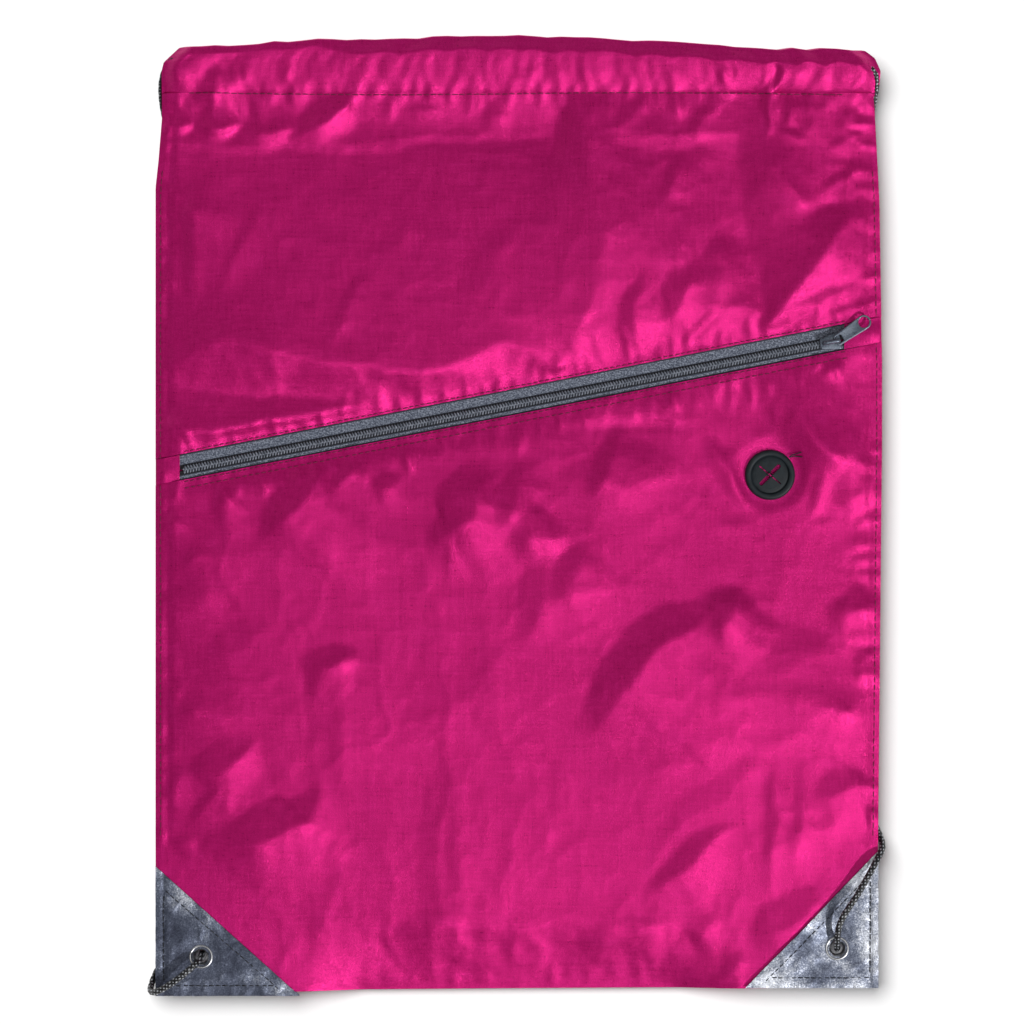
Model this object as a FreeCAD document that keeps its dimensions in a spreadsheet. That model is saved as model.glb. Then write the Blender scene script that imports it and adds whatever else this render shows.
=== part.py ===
"""Drawstring backpack with a slanting zipped pocket: an empty bag lying on its back.

Millimetres. X runs across the bag, Y from the bottom seam to the mouth, Z up out of the front.
The origin is under the middle of the bag, on the surface that it lies on.
Cloth is drawn thicker than it is, so that every layer is a solid.
"""
import FreeCAD, Part
import math
import os
import re

import Sketcher

Vector = FreeCAD.Vector

# Driving dimensions: word, value in mm (degrees for the angles), what it is
DIMENSIONS = [
    ("half_width", 165.0, "half the bag's width"),
    ("half_length", 219.0, "half the bag's length"),
    ("cloth", 0.8, "thickness of the front and back cloth"),
    ("lining_cloth", 0.5, "thickness of the pocket lining"),
    ("patch_cloth", 0.7, "thickness of a corner patch"),
    ("seam_level", 9.3, "height of the back cloth at the side seams, above the cords"),
    ("crown", 2.6, "how far the front cloth rises above the seams"),
    ("low_edge", 1.3, "height of the back cloth at the middle of the bottom seam"),
    ("pinch_end", -185.0, "Y where the flat corners end"),
    ("body_start", -150.0, "Y where the full section starts"),
    ("body_end", 165.0, "Y where the side seams start to open"),
    ("hem_start", 193.0, "Y of the hem's stitching"),
    ("allowance", 4.0, "width of the flat seam at each side"),
    ("casing_height", 5.8, "outside height of a cord casing"),
    ("casing_half", 153.0, "half the length of a cord casing"),
    ("front_casing_level", 11.2, "underside of the front casing"),
    ("zip_angle", 11.15, "slope of the zip"),
    ("zip_rise", 51.05, "Y of the zip's line at the middle of the bag"),
    ("slot_above", 7.2, "from the zip's line to the cloth above it"),
    ("slot_below", 4.5, "from the zip's line to the cloth below it"),
    ("tab_inner_left", -153.5, "X where the left end tab starts"),
    ("tab_inner_right", 148.5, "X where the right end tab starts"),
    ("tape_width", 13.0, "from the zip's line to a tape's outer edge"),
    ("tape_cloth", 0.6, "thickness of the zip tape"),
    ("tape_half", 158.0, "half the length of the tape"),
    ("tape_gap", 0.4, "from the zip's line to a tape's inner edge"),
    ("coil_near", 0.5, "from the zip's line to the near side of a coil"),
    ("coil_far", 2.4, "from the zip's line to the far side of a coil"),
    ("coil_height", 1.7, "height of the coil"),
    ("coil_left", -156.0, "left end of the coil, along the zip"),
    ("coil_right", 150.4, "right end of the coil, along the zip"),
    ("slider_place", 145.2, "the slider's middle, along the zip"),
    ("slider_back", 4.5, "slider's middle to its closed-chain end"),
    ("slider_front", 5.0, "slider's middle to its nose"),
    ("slider_half", 3.9, "half the slider's width"),
    ("plate", 0.8, "thickness of the slider's plates"),
    ("flange", 0.8, "thickness of the slider's side flanges"),
    ("post_half", 0.32, "half the width of the slider's post"),
    ("bridge_half", 0.8, "half the width of the pull's bridge"),
    ("bridge_height", 2.7, "height of the pull's bridge"),
    ("bridge_gap", 1.6, "height of the opening under the bridge"),
    ("pivot_place", 3.0, "slider's middle to the pull's hinge line"),
    ("pull_angle", 34.5, "direction of the pull, from the X axis"),
    ("pull_cloth", 1.0, "thickness of the pull"),
    ("pull_reach", 15.1, "hinge line to the middle of the pull's hole"),
    ("pull_hole", 2.55, "radius of the pull's hole"),
    ("pull_end", 3.35, "radius of the pull's round end"),
    ("pull_neck", 2.7, "half the width of the pull beside its window"),
    ("window_half", 1.75, "half the width of the pull's window"),
    ("window_reach", 3.2, "hinge line to the far side of the window"),
    ("port_x", 115.3, "X of the cable port"),
    ("port_y", 18.7, "Y of the cable port"),
    ("port_flange", 11.35, "radius of the port's flange"),
    ("port_neck", 8.5, "radius of the port's neck in the cloth"),
    ("port_dish", 8.7, "radius of the port's dished middle"),
    ("port_rim", 1.4, "height of the port's rim above the cloth"),
    ("port_web", 0.9, "thickness of the slit middle above the neck's base"),
    ("slit_half", 6.7, "half the length of a slit"),
    ("wide_slit", 1.5, "width of the slit that stands open"),
    ("thin_slit", 0.5, "width of the other slit"),
    ("eyelet_flange", 5.4, "outside radius of an eyelet"),
    ("eyelet_barrel", 3.3, "outside radius of an eyelet's barrel"),
    ("eyelet_bore", 2.7, "inside radius of an eyelet's barrel"),
    ("eyelet_lip", 0.8, "thickness of an eyelet's flange"),
    ("washer_lip", 0.7, "thickness of an eyelet's washer"),
    ("left_eyelet_x", -144.5, "X of the left eyelet"),
    ("left_eyelet_y", -201.3, "Y of the left eyelet"),
    ("right_eyelet_x", 146.0, "X of the right eyelet"),
    ("right_eyelet_y", -197.5, "Y of the right eyelet"),
    ("left_patch_x", -99.5, "X where the left patch meets the bottom seam"),
    ("left_patch_y", -160.0, "Y where the left patch meets the side seam"),
    ("right_patch_x", 104.0, "X where the right patch meets the bottom seam"),
    ("right_patch_y", -153.0, "Y where the right patch meets the side seam"),
    ("patch_inset", 4.7, "seam to the patch's stitching"),
    ("thread", 0.4, "width and height of a run of stitching"),
    ("cord", 3.0, "diameter of the cord"),
    ("knot_height", 7.6, "height of a knot on the floor"),
    ("knot_half", 5.6, "half the length of a knot"),
    ("bottom_fold", 97.0, "bottom seam: half-width where the raised corners start to drop"),
    ("bottom_crown", 70.0, "bottom seam: half-width of the low middle"),
    ("pinch_fold", 132.0, "end of the flat corners: half-width where they start to drop"),
    ("pinch_crown", 105.0, "end of the flat corners: half-width of the level middle"),
    ("front_crown", 158.0, "half-width of the front's level middle"),
    ("back_crown", 130.0, "half-width of the back's level middle, between the cords"),
    ("front_mouth", 161.0, "half-width of the front at the hem"),
    ("front_mouth_crown", 150.0, "half-width of the front's level middle at the hem"),
    ("back_mouth", 150.0, "half-width of the back at the hem"),
    ("cut_margin", 20.0, "how far a cutting outline runs past the bag"),
    ("casing_corner", 1.4, "corner cut off the casing's closed edge"),
    ("coil_bevel", 0.5, "corner cut off a coil's top"),
    ("coil_clearance", 0.2, "from the coils to the slider's top plate"),
    ("tape_clearance", 0.1, "from the tapes to the slider's bottom plate"),
    ("flange_clearance", 0.25, "from the tapes to the slider's flanges"),
    ("slider_taper", 1.2, "corner cut off the slider's plates"),
    ("post_start", 1.4, "slider's middle to the near side of its post"),
    ("post_inset", 0.4, "slider's nose to the far side of its post"),
    ("bridge_back", 2.7, "slider's middle to the back of the bridge"),
    ("bridge_leg", 1.3, "length of the bridge's back leg"),
    ("bridge_front", 4.2, "slider's middle to the bridge's front leg"),
    ("bridge_corner", 0.4, "corner cut off the opening under the bridge"),
    ("bridge_nose", 0.9, "corner cut off the bridge's front"),
    ("bridge_heel", 1.1, "corner cut off the bridge's back"),
    ("pull_clearance", 0.3, "from the slider's top plate to the pull"),
    ("pull_heel", 0.5, "from the hinge line to the pull's end behind it, and to its window"),
    ("pull_shoulder", 1.0, "from the window to where the pull starts to widen"),
    ("port_collar", 1.6, "how far the port's collar runs under the cloth"),
    ("port_sink", 0.7, "height of the port's collar under the cloth"),
    ("port_wall", 1.0, "thickness of the port's neck"),
    ("port_bevel", 0.5, "corner cut off the port's rim, and rise of its middle"),
    ("port_slope", 0.4, "slope from the port's rim to its dish"),
    ("eyelet_bevel", 0.7, "corner cut off an eyelet's flange"),
    ("eyelet_round", 1.0, "from an eyelet's bore to its flat top"),
    ("eyelet_throat", 0.4, "how far an eyelet's throat reaches down"),
    ("side_inset", 2.4, "side seam to its stitching"),
    ("hem_inset", 0.6, "hem to its stitching"),
    ("upper_inset", 0.8, "edge of the cloth above the zip to its stitching"),
    ("lower_inset", 3.8, "edge of the cloth below the zip to its stitching"),
]
SIZES_NAME = "Sizes"

# Cord routes, from the knot through the eyelet, round the edge, up the back, through the front
# casing, back through the back casing and down the back to the knot again
RIGHT_ROUTE = [
    (143.6, -179.5, 3.6), (144.6, -185.5, 2.4), (145.8, -192.0, 2.4), (146.6, -197.2, 5.0),
    (146.0, -198.2, 11.0), (145.7, -194.0, 17.2), (145.9, -187.4, 20.2), (148.6, -181.4, 20.4),
    (152.4, -176.2, 19.6), (156.4, -170.4, 18.6), (160.6, -163.6, 17.4), (165.6, -157.4, 15.6),
    (170.4, -151.6, 10.6), (168.6, -145.4, 4.6), (162.4, -138.2, 1.6), (156.6, -127.4, 1.5),
    (153.6, -106.0, 1.5), (152.6, -66.0, 1.5), (153.4, -12.0, 1.5), (155.0, 46.0, 1.5),
    (155.2, 98.0, 1.5), (154.4, 130.0, 1.5), (157.8, 150.0, 1.6), (163.6, 167.0, 2.6),
    (166.4, 180.0, 6.4), (166.0, 190.6, 10.8), (162.6, 198.8, 13.8), (156.0, 202.0, 14.6),
    (141.0, 202.4, 14.6), (110.0, 203.0, 14.6), (56.0, 202.2, 14.6), (0.0, 201.4, 14.6),
    (-56.0, 202.0, 14.6), (-110.0, 203.0, 14.6), (-143.0, 202.4, 14.6), (-157.5, 202.0, 14.6),
    (-161.1, 202.0, 11.0), (-161.1, 202.0, 6.0), (-157.5, 202.0, 2.4), (-143.0, 202.4, 2.4),
    (-110.0, 203.0, 2.4), (-56.0, 202.4, 2.4), (0.0, 201.6, 2.4), (56.0, 202.0, 2.4),
    (110.0, 203.0, 2.4), (141.0, 202.8, 2.4), (154.5, 202.4, 2.4), (160.6, 199.8, 2.3),
    (163.4, 193.6, 2.0), (162.4, 184.6, 1.6), (156.8, 171.6, 1.5), (150.2, 156.4, 1.5),
    (147.0, 134.0, 1.5), (146.8, 98.0, 1.5), (148.4, 46.0, 1.5), (148.8, -12.0, 1.5),
    (147.0, -66.0, 1.5), (146.4, -110.0, 1.5), (147.0, -140.0, 1.5), (145.4, -158.0, 1.8),
    (143.8, -170.0, 3.4),
]
LEFT_ROUTE = [
    (-141.4, -182.5, 3.6), (-142.4, -188.8, 2.4), (-143.4, -195.2, 2.4), (-144.6, -200.4, 5.2),
    (-144.5, -201.5, 12.2), (-145.9, -203.6, 18.2), (-150.8, -208.4, 19.6), (-156.4, -213.4, 18.6),
    (-162.0, -217.4, 16.6), (-168.0, -220.6, 13.6), (-171.4, -220.8, 8.0), (-169.6, -215.2, 3.2),
    (-164.2, -206.4, 1.6), (-159.0, -192.0, 1.5), (-155.2, -168.0, 1.5), (-153.4, -124.0, 1.5),
    (-152.8, -70.0, 1.5), (-153.8, -14.0, 1.5), (-155.2, 44.0, 1.5), (-155.0, 98.0, 1.5),
    (-154.4, 130.0, 1.5), (-158.4, 150.0, 1.6), (-164.6, 166.0, 2.8), (-168.0, 180.0, 6.6),
    (-168.2, 193.0, 10.8), (-167.0, 203.4, 13.6), (-162.0, 210.2, 14.6), (-154.0, 212.4, 14.6),
    (-139.0, 212.0, 14.6), (-110.0, 211.4, 14.6), (-56.0, 212.0, 14.6), (0.0, 213.0, 14.6),
    (56.0, 212.4, 14.6), (110.0, 211.4, 14.6), (143.0, 212.0, 14.6), (157.5, 212.4, 14.6),
    (161.1, 212.4, 11.0), (161.1, 212.4, 6.0), (157.5, 212.4, 2.4), (143.0, 212.0, 2.4),
    (110.0, 211.4, 2.4), (56.0, 212.2, 2.4), (0.0, 213.0, 2.4), (-56.0, 212.2, 2.4),
    (-110.0, 211.4, 2.4), (-139.0, 212.0, 2.4), (-154.5, 212.6, 2.4), (-162.6, 210.4, 2.2),
    (-166.6, 203.8, 1.9), (-166.4, 194.0, 1.6), (-162.8, 182.0, 1.5), (-156.4, 168.4, 1.5),
    (-149.8, 153.0, 1.5), (-146.8, 130.0, 1.5), (-147.0, 94.0, 1.5), (-148.8, 42.0, 1.5),
    (-148.6, -14.0, 1.5), (-147.0, -70.0, 1.5), (-146.6, -116.0, 1.5), (-147.0, -146.0, 1.5),
    (-144.6, -162.0, 1.8), (-142.0, -173.0, 3.4),
]
ARC_SHARE = 0.45


def make_sizes(document):
    """Put the driving dimensions in a spreadsheet and return them as a dictionary too."""
    sheet = document.addObject("Spreadsheet::Sheet", SIZES_NAME)
    values = {}
    for row, (word, value, meaning) in enumerate(DIMENSIONS, start=1):
        sheet.set(f"A{row}", word)
        sheet.set(f"B{row}", str(value))
        sheet.set(f"C{row}", meaning)
        sheet.setAlias(f"B{row}", word)
        values[word] = value
    document.recompute()
    return values


def bound(text):
    """Turn an expression in dimension words into one that reads the spreadsheet."""
    words = {word for word, _, _ in DIMENSIONS}

    def reference(match):
        word = match.group(0)
        return f"{SIZES_NAME}.{word}" if word in words else word

    return re.sub(r"[a-z_]+", reference, text)


def new_body(document, label):
    """Start a sub-part; its label names its file."""
    body = document.addObject("PartDesign::Body", label)
    body.Label = label
    return body


def place(body, across, along, up, turn=None):
    """Bind a body's place, and its turn about +Z, to the spreadsheet."""
    body.setExpression("Placement.Base.x", bound(across))
    body.setExpression("Placement.Base.y", bound(along))
    body.setExpression("Placement.Base.z", bound(up))
    if turn:
        body.Placement.Rotation.Axis = Vector(0, 0, 1)
        body.setExpression("Placement.Rotation.Angle", bound(turn))


def new_sketch(body, name, plane, offset="0"):
    """A sketch on one of the body's own planes, moved along that plane's normal."""
    sketch = body.newObject("Sketcher::SketchObject", name)
    support = next(item for item in body.Origin.OriginFeatures if item.Role == plane)
    sketch.AttachmentSupport = [(support, "")]
    sketch.MapMode = "FlatFace"
    sketch.setExpression("AttachmentOffset.Base.z", bound(offset))
    return sketch


def bind_point(sketch, geometry, point, across, up):
    """Fix one point of a sketch by two dimensions from its origin."""
    for kind, text in (("DistanceX", across), ("DistanceY", up)):
        index = sketch.addConstraint(Sketcher.Constraint(kind, -1, 1, geometry, point, 1.0))
        sketch.setExpression(f"Constraints[{index}]", bound(text))


def add_polygon(sketch, corners):
    """Add a closed polygon whose corners are pairs of expressions."""
    first = sketch.GeometryCount
    count = len(corners)
    ring = [
        Vector(math.cos(2 * math.pi * step / count), math.sin(2 * math.pi * step / count), 0)
        for step in range(count)
    ]
    for step in range(count):
        sketch.addGeometry(Part.LineSegment(ring[step], ring[(step + 1) % count]), False)
    for step in range(count):
        following = first + (step + 1) % count
        sketch.addConstraint(Sketcher.Constraint("Coincident", first + step, 2, following, 1))
    for step, (across, up) in enumerate(corners):
        bind_point(sketch, first + step, 1, across, up)


def add_circle(sketch, across, up, radius):
    """Add a circle bound to the spreadsheet."""
    index = sketch.addGeometry(Part.Circle(Vector(0, 0, 0), Vector(0, 0, 1), 1.0), False)
    bind_point(sketch, index, 3, across, up)
    constraint = sketch.addConstraint(Sketcher.Constraint("Radius", index, 1.0))
    sketch.setExpression(f"Constraints[{constraint}]", bound(radius))


def rectangle(left, right, low, high):
    """Corners of an upright rectangle, as expressions."""
    return [(left, low), (right, low), (right, high), (left, high)]


def pad(body, sketch, length):
    """Raise a sketch along its normal."""
    feature = body.newObject("PartDesign::Pad", f"{sketch.Name}Pad")
    feature.Profile = sketch
    feature.setExpression("Length", bound(length))
    return feature


def pocket(body, sketch):
    """Cut a sketch right through, both ways."""
    feature = body.newObject("PartDesign::Pocket", f"{sketch.Name}Pocket")
    feature.Profile = sketch
    feature.Type = "ThroughAll"
    feature.Midplane = True
    return feature


def block(body, name, left, right, low, high, base, height):
    """A rectangular block on the XY plane of a body."""
    sketch = new_sketch(body, name, "XY_Plane", base)
    add_polygon(sketch, rectangle(left, right, low, high))
    return pad(body, sketch, height)


def cloth_section(body, name, along, half, levels, thickness):
    """One section of a cloth layer: seam edge, fold, crown edge, then level across."""
    edge, fold, crown = half
    edge_level, fold_level, crown_level = levels
    outer = [
        (edge, edge_level), (fold, fold_level), (crown, crown_level),
        (f"-({crown})", crown_level), (f"-({fold})", fold_level), (f"-({edge})", edge_level),
    ]
    inner = [(across, f"{up} + {thickness}") for across, up in reversed(outer)]
    # this plane's normal points towards the bottom seam
    sketch = new_sketch(body, name, "XZ_Plane", f"-({along})")
    add_polygon(sketch, outer + inner)
    return sketch


def cloth_layer(body, stations, thickness):
    """A layer of cloth lofted straight from station to station along the bag."""
    sections = [
        cloth_section(body, f"{body.Name}Station{number}", along, half, levels, thickness)
        for number, (along, half, levels) in enumerate(stations)
    ]
    loft = body.newObject("PartDesign::AdditiveLoft", f"{body.Name}Loft")
    loft.Profile = sections[0]
    loft.Sections = sections[1:]
    loft.Ruled = True
    return loft


# Section halves: seam edge, fold and crown edge, each as a distance from the middle
BOTTOM_HALF = ("half_width", "bottom_fold", "bottom_crown")
PINCH_HALF = ("half_width", "pinch_fold", "pinch_crown")
FRONT_BODY_HALF = ("half_width", "half_width - allowance", "front_crown")
BACK_BODY_HALF = ("half_width", "half_width - allowance - 1", "back_crown")
FRONT_MOUTH_HALF = ("front_mouth", "front_mouth - 1", "front_mouth_crown")
BACK_MOUTH_HALF = ("back_mouth", "back_mouth - 3", "back_crown")
FRONT_SEAM = "seam_level + cloth + lining_cloth"
FRONT_TOP = f"{FRONT_SEAM} + crown"


def front_stations():
    """Stations of the front cloth's underside, from the bottom seam to the hem."""
    low_middle = "low_edge + cloth + lining_cloth"
    return [
        ("-half_length", BOTTOM_HALF, (FRONT_SEAM, FRONT_SEAM, low_middle)),
        ("pinch_end", PINCH_HALF, (FRONT_SEAM, FRONT_SEAM, f"{FRONT_SEAM} + crown / 2")),
        ("body_start", FRONT_BODY_HALF, (FRONT_SEAM, FRONT_SEAM, FRONT_TOP)),
        ("body_end", FRONT_BODY_HALF, (FRONT_SEAM, FRONT_SEAM, FRONT_TOP)),
        ("hem_start", FRONT_MOUTH_HALF, (FRONT_TOP, FRONT_TOP, FRONT_TOP)),
    ]


def lining_stations():
    """Stations of the pocket lining's underside, clear of the slider above it."""
    seam = "seam_level + cloth"
    return [
        ("-half_length", BOTTOM_HALF, (seam, seam, "low_edge + cloth")),
        ("pinch_end", PINCH_HALF, (seam, seam, f"{seam} + 0.2")),
        ("body_start", BACK_BODY_HALF, (seam, seam, f"{seam} + 0.9")),
        ("body_end", BACK_BODY_HALF, (seam, seam, f"{seam} + 0.9")),
    ]


def back_stations():
    """Stations of the back cloth's underside: flat on the floor between the cords."""
    return [
        ("-half_length", BOTTOM_HALF, ("seam_level", "seam_level", "low_edge")),
        ("pinch_end", PINCH_HALF, ("seam_level", "seam_level", "0")),
        ("body_start", BACK_BODY_HALF, ("seam_level", "seam_level", "0")),
        ("body_end", BACK_BODY_HALF, ("seam_level", "seam_level", "0")),
        ("hem_start", BACK_MOUTH_HALF, ("0", "0", "0")),
    ]


def zip_line(across, offset):
    """Y of a line beside the zip at a given X: offset is square to the zip."""
    return f"zip_rise + ({across}) * tan(zip_angle * 1 deg) + ({offset}) / cos(zip_angle * 1 deg)"


def cut_outside(body, name, offset, side):
    """Cut away the cloth above (side 1) or below (side -1) a line beside the zip."""
    reach = "half_width + cut_margin"
    far = f"{side} * (half_length + cut_margin)"
    sketch = new_sketch(body, name, "XY_Plane")
    add_polygon(sketch, [
        (f"-({reach})", zip_line(f"-({reach})", offset)), (reach, zip_line(reach, offset)),
        (reach, far), (f"-({reach})", far),
    ])
    pocket(body, sketch)


def cut_eyelet_holes(body, name):
    """Cut the holes that the eyelets' barrels go through."""
    sketch = new_sketch(body, name, "XY_Plane")
    for side in ("left", "right"):
        add_circle(sketch, f"{side}_eyelet_x", f"{side}_eyelet_y", "eyelet_barrel")
    pocket(body, sketch)


def make_cloth(document):
    """The front, back and pocket cloths."""
    back = new_body(document, "back_panel")
    cloth_layer(back, back_stations(), "cloth")
    cut_eyelet_holes(back, "BackHoles")

    upper = new_body(document, "front_panel_upper")
    cloth_layer(upper, front_stations(), "cloth")
    cut_outside(upper, "UpperCut", "slot_above", -1)

    lower = new_body(document, "front_panel_lower")
    cloth_layer(lower, front_stations(), "cloth")
    cut_outside(lower, "LowerCut", "-slot_below", 1)
    cut_eyelet_holes(lower, "LowerHoles")
    port_hole = new_sketch(lower, "PortHole", "XY_Plane")
    add_circle(port_hole, "port_x", "port_y", "port_neck")
    pocket(lower, port_hole)

    lining = new_body(document, "pocket_lining")
    cloth_layer(lining, lining_stations(), "lining_cloth")
    cut_outside(lining, "LiningCut", "tape_width", 1)
    cut_eyelet_holes(lining, "LiningHoles")
    return [back, upper, lower, lining]


def make_tab(document, label, inner, side):
    """A short piece of front cloth that closes one end of the zip's slot."""
    body = new_body(document, label)
    cloth_layer(body, front_stations(), "cloth")
    cut_outside(body, f"{label}Above", "slot_above", 1)
    cut_outside(body, f"{label}Below", "-slot_below", -1)
    far = f"-{side} * (half_width + cut_margin)"
    sketch = new_sketch(body, f"{label}Inner", "XY_Plane")
    add_polygon(sketch, rectangle(inner, far, "-half_length - cut_margin", "half_length + cut_margin"))
    pocket(body, sketch)
    return body


def make_casing(document, label, base):
    """A cord casing: the cloth folded over at the mouth into a flat tube along X."""
    body = new_body(document, label)
    sketch = new_sketch(body, f"{label}Profile", "YZ_Plane", "-casing_half")
    lip = "casing_corner"
    top = f"{base} + casing_height"
    shell = [
        ("hem_start", base), (f"half_length - {lip}", base), ("half_length", f"{base} + {lip}"),
        ("half_length", f"{top} - {lip}"), (f"half_length - {lip}", top), ("hem_start", top),
    ]
    hollow = [
        ("hem_start + cloth", f"{base} + cloth"),
        (f"half_length - {lip}", f"{base} + cloth"),
        ("half_length - cloth", f"{base} + {lip}"),
        ("half_length - cloth", f"{top} - {lip}"),
        (f"half_length - {lip}", f"{top} - cloth"),
        ("hem_start + cloth", f"{top} - cloth"),
    ]
    add_polygon(sketch, shell)
    add_polygon(sketch, hollow)
    pad(body, sketch, "2 * casing_half")
    return body


def patch_corner(side):
    """The three corners of a corner patch, as expressions."""
    edge = "half_width" if side == "right" else "-half_width"
    return [
        (edge, "-half_length"), (f"{side}_patch_x", "-half_length"), (edge, f"{side}_patch_y"),
    ]


def make_patches(document):
    """A triangle over each bottom corner, front and back."""
    bodies = []
    for side in ("left", "right"):
        for face, base in (("front", f"{FRONT_SEAM} + cloth"), ("back", "seam_level - patch_cloth")):
            body = new_body(document, f"corner_patch_{face}_{side}")
            sketch = new_sketch(body, f"{body.Name}Outline", "XY_Plane", base)
            add_polygon(sketch, patch_corner(side))
            add_circle(sketch, f"{side}_eyelet_x", f"{side}_eyelet_y", "eyelet_barrel")
            pad(body, sketch, "patch_cloth")
            bodies.append(body)
    return bodies


def revolve(body, name, corners):
    """Turn a profile of (radius, height) corners about the body's Z axis."""
    sketch = new_sketch(body, name, "XZ_Plane")
    add_polygon(sketch, corners)
    feature = body.newObject("PartDesign::Revolution", f"{name}Turn")
    feature.Profile = sketch
    feature.ReferenceAxis = (sketch, ["V_Axis"])
    feature.Angle = 360.0
    return feature


def make_eyelets(document):
    """Each eyelet is a flanged barrel, and a washer that its lower end is rolled over."""
    stack_low = "seam_level - patch_cloth"
    stack_high = f"{FRONT_SEAM} + cloth + patch_cloth"
    bodies = []
    for side in ("left", "right"):
        eyelet = new_body(document, f"eyelet_{side}")
        revolve(eyelet, f"Eyelet{side}", [
            ("eyelet_bore", f"{stack_low} - washer_lip"),
            ("eyelet_barrel", f"{stack_low} - washer_lip"),
            ("eyelet_barrel", stack_high),
            ("eyelet_flange", stack_high),
            ("eyelet_flange", f"{stack_high} + eyelet_lip / 3"),
            ("eyelet_flange - eyelet_bevel", f"{stack_high} + eyelet_lip"),
            ("eyelet_bore + eyelet_round", f"{stack_high} + eyelet_lip"),
            ("eyelet_bore", f"{stack_high} - eyelet_throat"),
        ])
        washer = new_body(document, f"eyelet_washer_{side}")
        revolve(washer, f"Washer{side}", [
            ("eyelet_barrel", f"{stack_low} - washer_lip"),
            ("eyelet_flange", f"{stack_low} - washer_lip / 2"),
            ("eyelet_flange", stack_low),
            ("eyelet_barrel", stack_low),
        ])
        for body in (eyelet, washer):
            place(body, f"{side}_eyelet_x", f"{side}_eyelet_y", "0")
            bodies.append(body)
    return bodies


def place_on_zip(body, along="0", turn="zip_angle"):
    """Put a body whose X runs along the zip in its place on the bag."""
    place(body, f"({along}) * cos(zip_angle * 1 deg)",
          f"zip_rise + ({along}) * sin(zip_angle * 1 deg)", "0", turn)


def make_zip(document):
    """The two tapes and the two coils sewn to them."""
    bodies = []
    for side, sign in (("upper", 1), ("lower", -1)):
        tape = new_body(document, f"zip_tape_{side}")
        block(tape, f"Tape{side}", "-tape_half", "tape_half", f"{sign} * tape_gap",
              f"{sign} * tape_width", f"{FRONT_TOP} - tape_cloth", "tape_cloth")
        coil = new_body(document, f"zip_coil_{side}")
        sketch = new_sketch(coil, f"Coil{side}", "YZ_Plane", "coil_left")
        base = FRONT_TOP
        top = f"{FRONT_TOP} + coil_height"
        near = f"{sign} * coil_near"
        far = f"{sign} * coil_far"
        bevel = f"{sign} * coil_bevel"
        add_polygon(sketch, [
            (near, base), (far, base), (far, f"{top} - coil_bevel"), (f"{far} - {bevel}", top),
            (f"{near} + {bevel}", top), (near, f"{top} - coil_bevel"),
        ])
        pad(coil, sketch, "coil_right - coil_left")
        for body in (tape, coil):
            place_on_zip(body)
            bodies.append(body)
    return bodies


def make_slider(document):
    """The slider: two plates joined by a post at the nose, side flanges and a bridge."""
    body = new_body(document, "zip_slider")
    back = "-slider_back"
    coil_top = f"{FRONT_TOP} + coil_height + coil_clearance"
    tape_low = f"{FRONT_TOP} - tape_cloth - tape_clearance"
    taper = "slider_taper"
    for name, base in (("TopPlate", coil_top), ("BottomPlate", f"{tape_low} - plate")):
        sketch = new_sketch(body, name, "XY_Plane", base)
        add_polygon(sketch, [
            (back, f"-slider_half + {taper}"), (f"{back} + {taper}", "-slider_half"),
            (f"slider_front - {taper}", "-slider_half"), ("slider_front", f"-slider_half + {taper}"),
            ("slider_front", f"slider_half - {taper}"), (f"slider_front - {taper}", "slider_half"),
            (f"{back} + {taper}", "slider_half"), (back, f"slider_half - {taper}"),
        ])
        pad(body, sketch, "plate")
        if name == "TopPlate":
            block(body, "Post", "post_start", "slider_front - post_inset", "-post_half", "post_half",
                  tape_low, f"{coil_top} - ({tape_low})")
    flange_low = f"{FRONT_TOP} + flange_clearance"
    for sign, name in ((1, "FlangeUp"), (-1, "FlangeDown")):
        block(body, name, f"{back} + {taper}", f"slider_front - {taper}",
              f"{sign} * (slider_half - flange)", f"{sign} * slider_half",
              flange_low, f"{coil_top} - ({flange_low})")
    bridge = new_sketch(body, "Bridge", "XZ_Plane", "-bridge_half")
    deck = f"{coil_top} + plate"
    top = f"{deck} + bridge_height"
    roof = f"{deck} + bridge_gap"
    leg = "-bridge_back + bridge_leg"
    add_polygon(bridge, [
        ("-bridge_back", deck), (leg, deck), (leg, f"{roof} - bridge_corner"),
        (f"{leg} + bridge_corner", roof), ("bridge_front - bridge_corner", roof),
        ("bridge_front", f"{roof} - bridge_corner"), ("bridge_front", deck),
        ("slider_front", deck), ("slider_front", f"{top} - bridge_nose"),
        ("bridge_front", top), ("-bridge_back + bridge_heel", top),
        ("-bridge_back", f"{top} - bridge_heel"),
    ])
    pad(body, bridge, "2 * bridge_half")
    place_on_zip(body, "slider_place")
    return body


def make_pull(document):
    """The pull: a tapered tab with a hole at its end and a window round the bridge."""
    body = new_body(document, "zip_pull")
    low = f"{FRONT_TOP} + coil_height + coil_clearance + plate + pull_clearance"
    plate = new_sketch(body, "PullPlate", "XY_Plane", low)
    add_polygon(plate, [
        ("-pull_heel", "-pull_neck"), ("window_reach + pull_shoulder", "-pull_neck"),
        ("pull_reach", "-pull_end"), ("pull_reach", "pull_end"),
        ("window_reach + pull_shoulder", "pull_neck"), ("-pull_heel", "pull_neck"),
    ])
    pad(body, plate, "pull_cloth")
    end = new_sketch(body, "PullEnd", "XY_Plane", low)
    add_circle(end, "pull_reach", "0", "pull_end")
    pad(body, end, "pull_cloth")
    openings = new_sketch(body, "PullOpenings", "XY_Plane")
    add_circle(openings, "pull_reach", "0", "pull_hole")
    add_polygon(openings, rectangle("pull_heel", "window_reach", "-window_half", "window_half"))
    pocket(body, openings)
    place_on_zip(body, "slider_place + pivot_place", "pull_angle")
    return body


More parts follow.
